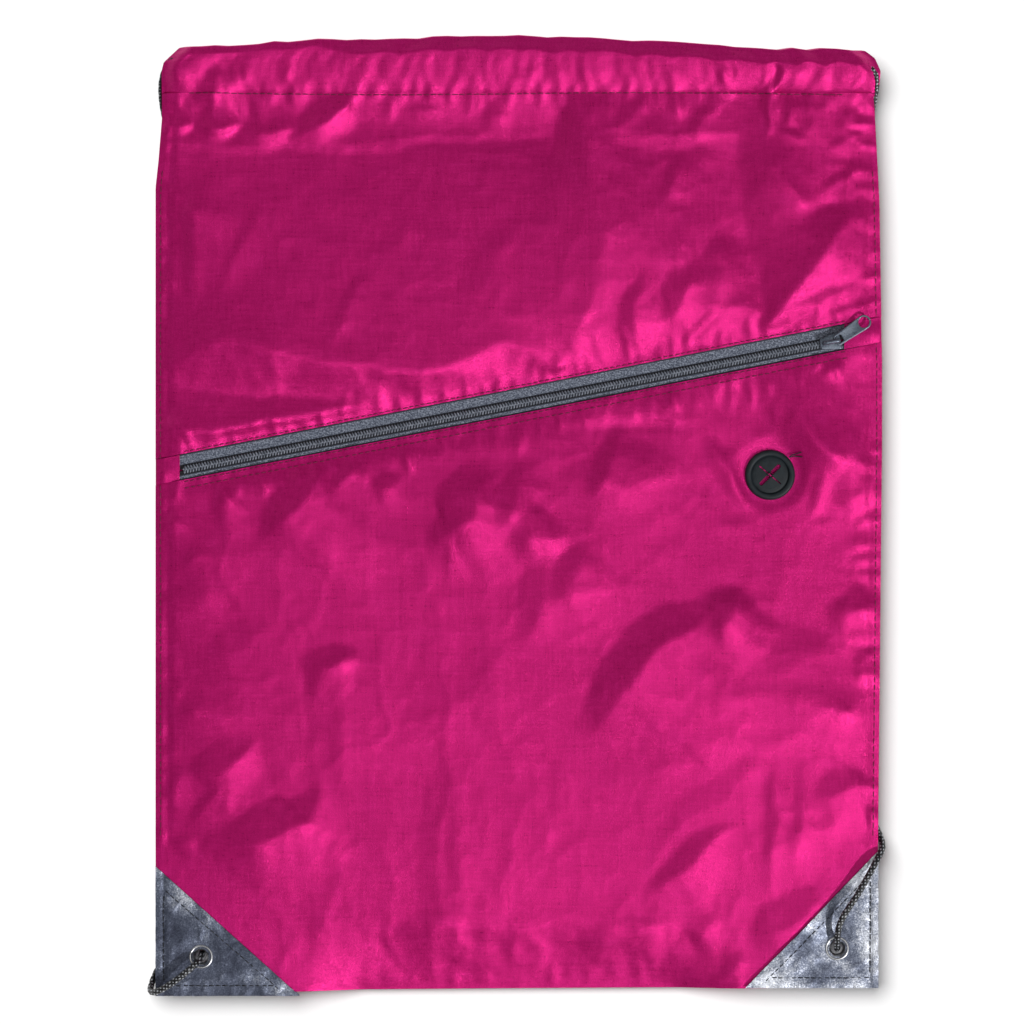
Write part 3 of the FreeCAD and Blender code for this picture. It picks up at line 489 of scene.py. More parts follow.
# ---------------------------------------------------------------- relief of the front
class Relief:
    """Heights over the bag's front on a square grid, in millimetres."""

    LEFT, RIGHT, LOW, HIGH = -176.0, 176.0, -228.0, 228.0
    STEP = 1.0

    def __init__(self):
        self.x, self.y = self.lines(self.STEP)
        self.across, self.along = np.meshgrid(self.x, self.y)
        self.height = np.zeros_like(self.across)
        # where a straight stroke really falls: strokes and folds wander by these distances
        self.drift_x = 1.7 * cloud(self, 17, 15, 1) + 0.7 * cloud(self, 6, 6, 2)
        self.drift_y = 1.7 * cloud(self, 15, 17, 3) + 0.7 * cloud(self, 6, 6, 4)

    def lines(self, step):
        """The grid's X and Y values at a step."""
        return (np.arange(self.LEFT, self.RIGHT + step / 2, step),
                np.arange(self.LOW, self.HIGH + step / 2, step))

    def stretch(self, lines):
        """Stretch a skin over lines held at given heights, from a coarse grid to the fine one."""
        skin = None
        # each grid's step, and how often it is averaged
        for step, rounds in ((8.0, 260), (4.0, 160), (2.0, 120), (1.0, 90)):
            x, y = self.lines(step)
            total = np.zeros((len(y), len(x)))
            count = np.zeros_like(total)
            for line in lines:
                points = densely(line, step / 2)
                column = np.rint((points[:, 0] - self.LEFT) / step).astype(int)
                row = np.rint((points[:, 1] - self.LOW) / step).astype(int)
                np.add.at(total, (row, column), points[:, 2])
                np.add.at(count, (row, column), 1)
            held = count > 0
            known = total / np.maximum(count, 1)
            if skin is None:
                skin = np.full(total.shape, known[held].mean())
            else:
                skin = resample(skin, coarse, (x, y))
            for _ in range(rounds):
                skin = np.where(held, known, skin)
                ring = np.pad(skin, 1, mode="edge")
                skin = (ring[:-2, 1:-1] + ring[2:, 1:-1] + ring[1:-1, :-2] + ring[1:-1, 2:]) / 4
            coarse = (x, y)
        self.height = skin

    def soften(self, rounds):
        """Blur the heights a little, once per round."""
        for _ in range(rounds):
            ring = np.pad(self.height, 1, mode="edge")
            rows = (ring[:-2] + 2 * ring[1:-1] + ring[2:]) / 4
            self.height = (rows[:, :-2] + 2 * rows[:, 1:-1] + rows[:, 2:]) / 4

    def crest(self, points, left, right, height, ends=0.4):
        """Raise a sharp crest: a flat slope on its left, a fading one on its right."""
        line = np.array(points, dtype=float)
        reach = max(left, right) + 1
        columns = slice(*np.searchsorted(self.x, (line[:, 0].min() - reach,
                                                  line[:, 0].max() + reach)))
        rows = slice(*np.searchsorted(self.y, (line[:, 1].min() - reach,
                                               line[:, 1].max() + reach)))
        across = (self.across + self.drift_x)[rows, columns]
        along = (self.along + self.drift_y)[rows, columns]
        runs = np.linalg.norm(np.diff(line, axis=0), axis=1)
        whole = runs.sum()
        nearest = np.full(across.shape, 1e9)
        side = np.zeros_like(across)
        share = np.zeros_like(across)
        passed = 0.0
        for start, end, run in zip(line[:-1], line[1:], runs):
            heading = (end - start) / run
            from_x = across - start[0]
            from_y = along - start[1]
            reached = np.clip(from_x * heading[0] + from_y * heading[1], 0, run)
            off_x = from_x - reached * heading[0]
            off_y = from_y - reached * heading[1]
            distance = np.hypot(off_x, off_y)
            closer = distance < nearest
            nearest = np.where(closer, distance, nearest)
            side = np.where(closer, heading[0] * off_y - heading[1] * off_x, side)
            share = np.where(closer, (passed + reached) / whole, share)
            passed += run
        taper = smooth(share / ends) * smooth((1 - share) / ends)
        width = np.where(side > 0, left, right) * (0.35 + 0.65 * taper)
        profile = np.clip(1 - nearest / width, 0, 1) ** np.where(side > 0, 1.0, 1.6)
        self.height[rows, columns] += height * taper * profile

    def settle(self, place, level, inner, outer):
        """Press the cloth flat round a fitting."""
        away = np.hypot(self.across - place[0], self.along - place[1])
        hold = 1 - smooth((away - inner) / (outer - inner))
        self.height = self.height * (1 - hold) + level * hold

    def at(self, across, along):
        """Height at any place, read smoothly off the grid."""
        return sample(self.height, self.x, self.y, across, along)


def densely(line, step):
    """Points along a line of (x, y, z), no further apart than a step."""
    line = np.array(line, dtype=float)
    pieces = []
    for start, end in zip(line[:-1], line[1:]):
        count = max(2, int(np.linalg.norm((end - start)[:2]) / step) + 1)
        pieces.append(start + (end - start) * np.linspace(0, 1, count)[:, None])
    return np.concatenate(pieces)


def between(grid, row, column, up, over):
    """Values between a grid's points, from each place's cell and its shares across the cell."""
    lower = grid[row, column] * (1 - over) + grid[row, column + 1] * over
    upper = grid[row + 1, column] * (1 - over) + grid[row + 1, column + 1] * over
    return lower * (1 - up) + upper * up


def sample(grid, x, y, across, along):
    """Bilinear reading of a grid of heights."""
    across = np.asarray(across, dtype=float)
    along = np.asarray(along, dtype=float)
    column = np.clip((across - x[0]) / (x[1] - x[0]), 0, len(x) - 1.001)
    row = np.clip((along - y[0]) / (y[1] - y[0]), 0, len(y) - 1.001)
    left = column.astype(int)
    low = row.astype(int)
    over = column - left
    up = row - low
    return between(grid, low, left, up, over)


def resample(grid, old, new):
    across, along = np.meshgrid(*new)
    return sample(grid, *old, across, along)


def cloud(relief, across_size, along_size, seed):
    """Smooth seeded noise from -1 to 1, with blotches of a given size."""
    chance = np.random.default_rng(seed)
    columns = int((relief.RIGHT - relief.LEFT) / across_size) + 3
    rows = int((relief.HIGH - relief.LOW) / along_size) + 3
    knots = chance.uniform(-1, 1, (rows, columns))
    column = (relief.across - relief.LEFT) / across_size
    row = (relief.along - relief.LOW) / along_size
    left = column.astype(int)
    low = row.astype(int)
    over = smooth(column - left)
    up = smooth(row - low)
    return between(knots, low, left, up, over)


# Folds that shape the upper cloth: each line is held at the heights given with it
UPPER_FOLDS = [
    # hem, then the crease below it where the gathered mouth folds over
    [(-162, 192.4, 13.4), (-100, 192.8, 14.6), (-30, 193.4, 14.8), (24, 193.2, 14.4),
     (70, 192.8, 14.8), (116, 192.2, 13.4), (140, 191.6, 14.4), (162, 190.6, 13.2)],
    [(-163, 169.4, 12.2), (-100, 170.6, 12.2), (-63, 171.2, 12.3), (-43, 173.5, 12.1),
     (1, 172.6, 12.2), (14, 174.0, 12.3)],
    # the even shadow side below the crease
    [(-158, 164.0, 13.3), (-100, 165.0, 13.4), (-43, 168.0, 13.4), (1, 167.0, 13.5),
     (14, 166.0, 13.8)],
    [(-150, 138.0, 15.4), (-100, 140.0, 15.7), (-43, 142.0, 16.0), (1, 140.0, 16.6)],
    # the long ridge above the pocket's zip
    [(-163, 67.0, 13.4), (-148, 75.0, 17.6), (-138, 79.0, 20.2), (-124, 78.5, 21.8),
     (-115, 74.0, 22.4), (-102, 71.0, 22.2), (-86, 70.0, 22.2), (-63, 66.6, 21.8),
     (-50, 66.0, 21.6), (-37, 67.0, 21.4), (-23, 71.0, 21.0), (-13, 74.0, 20.6),
     (-3, 79.0, 20.2), (8, 75.0, 18.8), (18, 66.6, 16.4)],
    # the fold line under it and the small ridge next to the zip
    [(-163, 59.0, 12.6), (-148, 58.0, 13.8), (-122, 55.7, 14.6), (-89, 53.5, 15.4),
     (-63, 51.5, 16.4)],
    [(-163, 42.0, 13.0), (-156, 40.6, 16.8), (-142, 38.0, 17.6), (-122, 41.0, 18.0),
     (-89, 45.6, 17.2), (-65, 50.0, 16.0)],
    # the ridge right of the middle, from the hem down to the zip
    [(25.6, 190.0, 15.0), (29, 181.0, 17.0), (32.5, 172.0, 18.0), (33, 163.0, 18.6),
     (33, 154.0, 19.4), (38, 143.0, 20.4), (40, 125.0, 21.2), (37, 105.0, 20.8),
     (30, 85.0, 19.4), (20, 67.5, 17.0)],
    [(22.0, 188.0, 13.0), (17, 176.0, 12.2), (17, 165.0, 13.4)],
    [(2, 118.0, 18.0), (4, 98.0, 19.0)],
    # the hollow and the big slope towards the right side
    [(50, 174.0, 15.0), (62, 156.0, 16.9), (68, 140.0, 18.6), (74, 116.0, 19.6)],
    [(72, 174.0, 14.2), (90, 172.0, 14.0)],
    [(100, 170.0, 13.6), (101, 150.0, 13.8), (106, 120.0, 14.4), (113, 90.0, 15.4)],
    [(112, 171.0, 15.4), (116.5, 159.0, 18.0), (123, 148.0, 19.0), (129, 141.0, 18.2)],
    [(134, 138.0, 15.6), (144, 140.5, 14.2), (154, 143.0, 13.6)],
    [(153, 138.0, 15.6), (148.5, 131.0, 18.8), (141, 121.0, 20.8), (132.7, 110.5, 21.0),
     (122, 97.0, 19.4), (115, 87.0, 17.4)],
    [(88, 97.0, 18.0), (100, 96.0, 17.6), (110, 92.0, 16.4)],
    [(28, 87.0, 18.8), (49, 86.0, 18.4), (66, 90.0, 17.4)],
]
# Crests laid on top: points, width on the dark left side, width on the right, height
UPPER_CRESTS = [
    ([(44, 176), (-4, 173), (-43, 174), (-66, 171.5), (-110, 171), (-170, 169.5), (-240, 168)],
     5, 4, 1.5),
    ([(99, 172), (80, 174.5), (62, 173.5), (40, 172)], 8, 4, 1.0),
    ([(66, 142), (73, 154), (77, 167)], 5, 7, 1.5),
    ([(64, 86), (74, 95), (80, 106), (82, 120)], 11, 9, 2.6),
    ([(91, 98), (94, 113), (92, 130)], 9, 8, 2.0),
    ([(57, 70), (54, 82), (54, 97), (60, 113)], 7, 8, 1.9),
    ([(111.5, 168), (114, 181), (116.6, 194), (119, 214)], 2.6, 2.4, 2.4),
    ([(116, 176), (124, 173), (134, 171)], 3, 2, 0.8),
    ([(152, 170), (152, 150), (151, 132)], 2, 2, 0.7),
    ([(-148, 95), (-148, 120), (-147.5, 156)], 6, 14, 1.8),
    ([(-168, 151), (-157, 148), (-147, 140)], 4, 5, 1.2),
    ([(-164, 95), (-160, 108), (-157, 123)], 3, 9, 1.1),
    ([(-140, 94), (-126, 121), (-112, 150)], 5, 5, 0.7),
    ([(-86, 77), (-77, 95), (-67, 114)], 5, 5, 0.8),
    ([(-30, 80), (-12, 108), (-4, 140)], 14, 14, 0.6),
    ([(-70, 100), (-52, 128), (-44, 152)], 10, 12, 0.5),
    ([(-168, 177), (-157, 177), (-147, 179)], 9, 2.4, 2.6),
    ([(-150, 176), (-137, 176), (-123, 180)], 11, 2.4, 3.2),
    ([(-128, 175), (-113, 174.5), (-98, 176)], 13, 2.4, 2.0),
    ([(-106, 170), (-88, 178), (-68, 194)], 10, 4, 3.8),
    ([(-163, 194), (-156, 200), (-148, 210)], 6, 6, 2.0),
    ([(-150, 190), (-139, 191), (-125, 196)], 12, 5, 2.6),
    ([(-52, 186), (-42, 185.5), (-33, 187)], 5, 5, 0.9),
    ([(-18, 181), (-9, 180.5), (-2, 183)], 8, 5, 1.1),
    ([(40, 176), (52, 181), (60, 191)], 6, 8, 1.2),
    ([(76, 172), (84, 181), (88, 191)], 6, 8, 1.1),
    ([(120, 176), (126, 184), (127, 192)], 4, 5, 1.2),
    ([(128, 170), (135, 180), (136, 192)], 5, 6, 1.1),
    ([(146, 172), (151, 181), (152, 190)], 5, 6, 1.0),
    ([(75, 77), (84, 87), (93, 97)], 3, 3, 0.8),
    ([(82, 78), (89, 86), (97, 95)], 3, 3, 0.7),
    ([(114, 88), (133, 96), (158, 108)], 4, 5, 1.0),
    ([(118, 84), (137, 90), (160, 97)], 4, 5, 0.9),
    ([(128, 83), (143, 87), (161, 90)], 3, 4, 0.7),
    ([(136, 142), (147, 152), (160, 160)], 4, 6, 0.9),
    ([(140, 166), (150, 172), (161, 176)], 4, 6, 0.9),
]
LIT_SIDE = 2.5
LOWER_FOLDS = [
    [(-160, 8.0, 14.6), (-120, 14.0, 16.0), (-60, 26.0, 15.8), (0, 33.0, 15.8), (60, 42.0, 15.4),
     (82, 46.0, 14.8)],
    [(-150, -20.0, 17.0), (-60, -14.0, 17.6), (20, -14.0, 17.4), (66, -18.0, 16.2)],
    # level cloth round the port
    [(96, 34.0, 14.0), (92, 18.0, 13.9), (98, 2.0, 13.8), (114, -6.0, 13.8), (132, 0.0, 14.0)],
    # the dark slope that passes above and to the right of the port
    [(101, 57.0, 13.2), (112, 45.0, 13.3), (119, 36.0, 13.8), (128, 26.0, 15.0), (134, 19.0, 15.8)],
    [(106, 63.0, 13.8), (122, 55.0, 15.8), (130, 43.0, 18.2), (137, 34.0, 19.8), (147, 28.0, 20.0),
     (157, 22.0, 15.6)],
    [(-150, -90.0, 16.2), (-60, -90.0, 16.8), (40, -100.0, 16.4), (110, -80.0, 17.2),
     (150, -90.0, 16.0)],
    [(-140, -150.0, 15.2), (-60, -155.0, 15.4), (40, -155.0, 15.2), (130, -150.0, 15.0)],
    [(-90, -186.0, 13.4), (0, -187.0, 13.6), (90, -186.0, 13.4)],
]
LOWER_CRESTS = [
    ([(-119, -13), (-101, 3), (-84, 27)], 13, 22, 4.0),
    ([(-86, 11), (-78, 17), (-70, 28)], 6, 8, 1.6),
    ([(-68, 12), (-60, 13), (-52, 19)], 8, 6, 1.5),
    ([(-141, 4), (-134, 5), (-128, 13)], 9, 7, 1.7),
    ([(-167, -9), (-159, -6), (-155, 4)], 8, 6, 1.5),
    ([(-44, -10), (-32, -9), (-20, -1), (-13, 26)], 20, 14, 4.4),
    ([(-9, -10), (0, 4), (4, 27)], 9, 10, 2.2),
    ([(14, 39), (45, 39), (84, 42)], 5, 12, -1.4),
    ([(14, 17), (48, 14), (84, 18)], 18, 14, 1.6),
    ([(32, 4), (42, 18), (49, 42)], 9, 10, 2.0),
    ([(-5, -11), (8, -11), (24, -7)], 15, 7, 2.6),
    ([(14, -42), (25, -32), (34, -11)], 12, 14, 1.9),
    ([(109, 0), (101, 13), (93, 24), (83, 38)], 7, 4, 1.9),
    ([(135, -4), (138, 9), (141, 23)], 5, 4, 1.2),
    ([(143, 4), (156, 10), (166, 24)], 11, 5, 1.8),
    ([(136, 62), (143, 66), (150, 71)], 4, 3, 1.0),
    ([(67, 46), (70, 52), (70, 60)], 3, 3, 0.9),
    ([(-167, -38), (-150, -39), (-131, -33)], 10, 10, 1.2),
    ([(-101, -67), (-86, -68), (-71, -62)], 9, 7, 2.0),
    ([(4, -60), (12, -42), (13, -14)], 13, 14, 1.5),
    ([(25, -104), (35.6, -96.5), (46, -82), (61, -65), (74, -54), (88, -43), (96, -30)], 17, 30,
     4.2),
    ([(84, -53), (96, -48), (104, -33)], 13, 14, 3.4),
    ([(140, -45), (152, -46), (166, -38)], 11, 9, 2.0),
    ([(152, -66), (158, -67), (166, -62)], 6, 6, 1.2),
    ([(132, -127), (148, -127), (166, -118)], 12, 10, 2.0),
    ([(116, -166), (119, -138), (118, -108)], 5, 7, 1.0),
    ([(126, -164), (130, -138), (131, -110)], 5, 7, 0.9),
    ([(-153, -118), (-136, -117), (-117, -100)], 12, 9, 2.5),
    ([(-165, -126), (-157, -125), (-149, -112)], 10, 6, 1.6),
    ([(-152, -143), (-142, -131), (-131, -119)], 4, 5, 1.0),
    ([(-141, -153), (-116, -149), (-97, -140), (-87, -122)], 16, 12, 3.6),
    ([(-158, -150), (-152, -149.5), (-146, -147)], 4, 4, 0.8),
    ([(-27, -216), (-27, -160), (-28, -98)], 18, 22, 1.1),
    ([(-80, -132), (-79, -92), (-82, -50)], 16, 22, 1.2),
    ([(56, -176), (78, -158), (99, -139)], 8, 9, 1.9),
    ([(28, -194), (50, -193), (71, -184)], 9, 8, 1.7),
    ([(76, -192), (84, -190), (91, -183)], 6, 6, 1.0),
    ([(103, -189), (124, -188), (146, -170)], 14, 10, 2.0),
    ([(91, -215), (99, -206), (104, -196)], 5, 5, 1.1),
    ([(40, -125), (72, -112), (104, -92)], 16, 22, 0.9),
    ([(-60, -110), (-20, -80), (-6, -52)], 16, 20, 0.8),
    ([(60, -150), (96, -128), (116, -104)], 12, 16, 0.8),
    ([(-150, -70), (-128, -62), (-110, -44)], 12, 14, 0.9),
    ([(106, -76), (128, -66), (146, -52)], 12, 14, 1.0),
    ([(-60, -196), (-40, -190), (-24, -178)], 9, 10, 1.0),
]


def seam_puckers(relief, start, end, towards, spacing, reach, height, seed):
    """Small gathers that run off a seam, uneven in place, length, lean and height."""
    chance = np.random.default_rng(seed)
    start = np.array(start, dtype=float)
    run = np.array(end, dtype=float) - start
    length = np.linalg.norm(run)
    along = run / length
    towards = np.array(towards, dtype=float)
    place = spacing * 0.5
    while place < length:
        foot = start + along * place
        lean = along * chance.normal(0, 0.28)
        far = foot + (towards + lean) * reach * chance.uniform(0.35, 1.25)
        middle = (foot + far) / 2 + along * chance.normal(0, 0.8)
        width = spacing * chance.uniform(0.28, 0.62)
        relief.crest([foot - towards * 5, middle, far], width, width * chance.uniform(0.9, 1.7),
                     height * chance.uniform(0.45, 1.3), 0.45)
        place += spacing * chance.uniform(0.55, 1.5)


def outline_lines():
    """The seams all round the front, at the heights where they are sewn."""
    rows = np.linspace(-216, 186, 60)
    left = [(along_table(row, LEFT_EDGE), row, SEAM_TOP) for row in rows]
    right = [(along_table(row, RIGHT_EDGE), row, SEAM_TOP) for row in rows]
    bottom = []
    for across in np.linspace(-165, 164, 60):
        middle = smooth((abs(across) - 66) / 34)
        level = 3.4 + (SEAM_TOP - 3.4) * float(middle)
        bottom.append((across, float(along_table(across, BOTTOM_EDGE)), level))
    below = [(across, along - 8, level) for across, along, level in bottom]
    return [left, right, bottom, below]


def zip_edge_lines():
    """Level lines along both edges of the zip's slot, which hold the cloth beside it."""
    lines = []
    for offset, level in ((ZIP_ABOVE, 14.0), (ZIP_ABOVE + 3.4, 14.3), (0.0, 14.0),
                          (ZIP_BELOW, 14.0), (ZIP_BELOW - 3.4, 14.2)):
        lines.append([(across, zip_line(across, offset), level - 2.0 * (abs(across) > 159))
                      for across in (-163, -158, -100, 0, 100, 158, 163)])
    return lines


def crumple(relief):
    """The cloth's own fine creasing: ridges where smooth noise changes sign."""
    first = 1 - np.abs(cloud(relief, 26, 34, 11) + 0.35 * cloud(relief, 9, 12, 12))
    second = 1 - np.abs(cloud(relief, 13, 10, 13) + 0.4 * cloud(relief, 5, 6, 14))
    fine = cloud(relief, 4.2, 5.4, 15)
    return 0.32 * first ** 4 + 0.18 * second ** 4 + 0.05 * fine


def make_relief():
    """The front's relief: held folds, sharp crests, crumple, gathers, then the fittings' flats."""
    relief = Relief()
    relief.stretch(outline_lines() + zip_edge_lines() + UPPER_FOLDS + LOWER_FOLDS)
    relief.soften(1)
    calm = smooth((seam_distance(relief) - 3) / 12) * smooth(
        (np.abs(zip_offset(relief)) - 8) / 10) * (relief.along < 162)
    relief.height = relief.at(relief.across + 0.9 * calm * relief.drift_x,
                              relief.along + 0.9 * calm * relief.drift_y)
    for points, left, right, height in UPPER_CRESTS + LOWER_CRESTS:
        relief.crest(points, left, right * LIT_SIDE, height)
    relief.height += crumple(relief)
    gather_seams(relief)
    for place in EYELETS.values():
        relief.settle(place, 11.3, 7.0, 12.0)
    relief.settle(PORT, 13.35, 12.2, 18.0)
    flatten_by_zip(relief)
    lift_off_lining(relief)
    relief.soften(1)
    return relief


def gather_seams(relief):
    """The gathers along the zip, the hem, the bottom and both sides."""
    def beside_zip(offset):
        return [(across, zip_line(across, offset)) for across in (-156, 146)]

    # both ends of the seam, the way its gathers run, their spacing, reach and height, and a seed
    for seam in (
            (*beside_zip(ZIP_ABOVE), (-0.19, 0.98), 6.6, 15, 0.75, 21),
            (*beside_zip(ZIP_BELOW), (0.19, -0.98), 6.0, 19, 0.95, 22),
            ((-160, HEM), (160, HEM), (0, -1), 7.2, 13, 0.75, 23),
            ((-158, HEM + 1), (160, HEM + 1), (0, 1), 8.4, 15, 0.9, 24),
            ((-98, -215), (104, -215), (0, 1), 9.0, 14, 0.4, 25),
            ((-164, -150), (-164, 150), (1, 0), 12.0, 13, 0.7, 26),
            ((165, -146), (166, 40), (-1, 0), 9.0, 15, 0.9, 27),
            ((166, 95), (163, 188), (-1, 0), 9.0, 14, 0.8, 28)):
        seam_puckers(relief, *seam)


def flatten_by_zip(relief):
    """Hold the cloth level where it is sewn to the tapes, lower past the slot's ends."""
    free = smooth((np.abs(zip_offset(relief)) - 4.0) / 5.0)
    level = np.where(np.abs(relief.across) < 158, 14.05, 12.2)
    relief.height = relief.height * free + np.maximum(relief.height, level) * (1 - free)


def lift_off_lining(relief):
    """Keep the front above the lining, and press it down into the side and bottom seams."""
    lining = section_level(LINING_SECTIONS, relief.across, np.minimum(relief.along, 165)) + 0.5
    lowest = lining + CLOTH + 0.25
    relief.height = lowest + np.logaddexp(0, (relief.height - lowest) / 0.35) * 0.35
    seam = seam_distance(relief)
    hold = 1 - smooth(seam / 2.2)
    relief.height = relief.height * (1 - hold) + np.minimum(relief.height, lowest + 0.15) * hold
    groove = np.exp(-((seam - 5.6) / 1.1) ** 2) * (relief.along > -150) * (relief.along < 186)
    relief.height -= 0.7 * groove * smooth((relief.height - lowest) / 1.2)


def zip_offset(relief):
    """Distance of each grid point from the zip's line, square to it."""
    return (relief.along - ZIP_RISE) * math.cos(ZIP_SLOPE) - relief.across * math.sin(ZIP_SLOPE)


def seam_distance(relief):
    """Distance of each grid point from the nearest side or bottom seam."""
    left = relief.across - along_table(relief.along, LEFT_EDGE)
    right = along_table(relief.along, RIGHT_EDGE) - relief.across
    bottom = relief.along - along_table(relief.across, BOTTOM_EDGE)
    return np.maximum(np.minimum(np.minimum(left, right), bottom), 0)


# ---------------------------------------------------------------- mesh making
def add_piece(name, mesh, material, body="bag", crease=40):
    """Put a mesh in the scene as a piece of one body, smooth except past the crease angle."""
    mesh.shade_smooth()
    mesh.set_sharp_from_angle(angle=math.radians(crease))
    mesh.materials.clear()
    mesh.materials.append(material)
    piece = bpy.data.objects.new(name, mesh)
    bpy.context.scene.collection.objects.link(piece)
    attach(piece, body)
    return piece


def make_piece(name, points, faces, material):
    """A new piece of the bag from points in millimetres."""
    mesh = bpy.data.meshes.new(name)
    mesh.from_pydata([tuple(point) for point in np.asarray(points) * MM], [], faces)
    mesh.validate()
    mesh.update()
    return add_piece(name, mesh, material, crease=58)


def make_cloth(name, node, grid, thickness, material, keep=None, slot=None, lowest=None, **sheet):
    """A closed sheet that stands for a CAD node, which it hides; its flat size and hold are not
    used.
    """
    points, faces = cloth_mesh(grid, thickness, keep)
    if lowest is not None:
        points[:, 2] = np.maximum(points[:, 2], lowest)
    piece = make_piece(name, points, faces, material)
    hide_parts(node)


def grid_normals(grid):
    """Unit normals of a grid of points (rows, columns, 3), upwards where rows and columns are."""
    by_row = np.gradient(grid, axis=0)
    by_column = np.gradient(grid, axis=1)
    normal = np.cross(by_column, by_row)
    return normal / np.maximum(np.linalg.norm(normal, axis=2, keepdims=True), 1e-9)


def cloth_mesh(grid, thickness, keep=None):
    """Points and faces of a closed sheet: the grid is its outer face, the inner one is below."""
    rows, columns = grid.shape[:2]
    inner = grid - grid_normals(grid) * thickness
    points = np.concatenate([grid.reshape(-1, 3), inner.reshape(-1, 3)])
    shift = rows * columns
    faces = []
    edges = {}
    for row in range(rows - 1):
        for column in range(columns - 1):
            if keep is not None and not keep[row, column]:
                continue
            low = row * columns + column
            corners = (low, low + 1, low + columns + 1, low + columns)
            faces.append(corners)
            faces.append(tuple(corner + shift for corner in reversed(corners)))
            for first, second in zip(corners, corners[1:] + corners[:1]):
                if (second, first) in edges:
                    del edges[(second, first)]
                else:
                    edges[(first, second)] = True
    for first, second in edges:
        faces.append((second, first, first + shift, second + shift))
    used = np.zeros(len(points), dtype=bool)
    for face in faces:
        used[list(face)] = True
    renumber = np.cumsum(used) - 1
    faces = [tuple(int(renumber[corner]) for corner in face) for face in faces]
    return points[used], faces


def tube_mesh(path, radius, sides, relief=None):
    """Points and faces of a closed tube; relief(number, turn) scales the radius of each ring."""
    path = np.asarray(path, dtype=float)
    heading = np.gradient(path, axis=0)
    heading /= np.linalg.norm(heading, axis=1, keepdims=True)
    first = np.cross(heading[0], (0.0, 0.0, 1.0))
    if np.linalg.norm(first) < 0.1:
        first = np.cross(heading[0], (1.0, 0.0, 0.0))
    turn = np.linspace(0, 2 * math.pi, sides, endpoint=False)
    rings = []
    for number, (point, ahead) in enumerate(zip(path, heading)):
        first = first - ahead * np.dot(first, ahead)
        first /= np.linalg.norm(first)
        second = np.cross(ahead, first)
        size = radius * (relief(number, turn) if relief else np.ones(sides))
        rings.append(point + size[:, None] * (np.cos(turn)[:, None] * first
                                              + np.sin(turn)[:, None] * second))
    points = np.concatenate(rings)
    faces = []
    for ring in range(len(path) - 1):
        low = ring * sides
        for side in range(sides):
            after = (side + 1) % sides
            faces.append((low + side, low + after, low + sides + after, low + sides + side))
    faces.append(tuple(range(sides - 1, -1, -1)))
    faces.append(tuple(range(len(points) - sides, len(points))))
    return points, faces


def joined(parts):
    """Several (points, faces) as one."""
    points = []
    faces = []
    count = 0
    for some_points, some_faces in parts:
        points.append(np.asarray(some_points, dtype=float))
        faces += [tuple(corner + count for corner in face) for face in some_faces]
        count += len(some_points)
    return np.concatenate(points), faces


def lathe(profile, centre, steps):
    """Points and faces of a closed profile of (radius, height) turned about an upright axis."""
    turn = np.linspace(0, 2 * math.pi, steps, endpoint=False)
    points = [(centre[0] + out * math.cos(angle), centre[1] + out * math.sin(angle), up)
              for out, up in profile for angle in turn]
    faces = []
    count = len(profile)
    for row in range(count):
        low = row * steps
        high = (row + 1) % count * steps
        for step in range(steps):
            after = (step + 1) % steps
            faces.append((low + step, low + after, high + after, high + step))
    return np.array(points), faces


def rounded(profile, rounds=2):
    """A closed profile with its corners cut back, ready to turn."""
    for _ in range(rounds):
        cut = []
        for here, after in zip(profile, profile[1:] + profile[:1]):
            cut.append((0.75 * here[0] + 0.25 * after[0], 0.75 * here[1] + 0.25 * after[1]))
            cut.append((0.25 * here[0] + 0.75 * after[0], 0.25 * here[1] + 0.75 * after[1]))
        profile = cut
    return profile


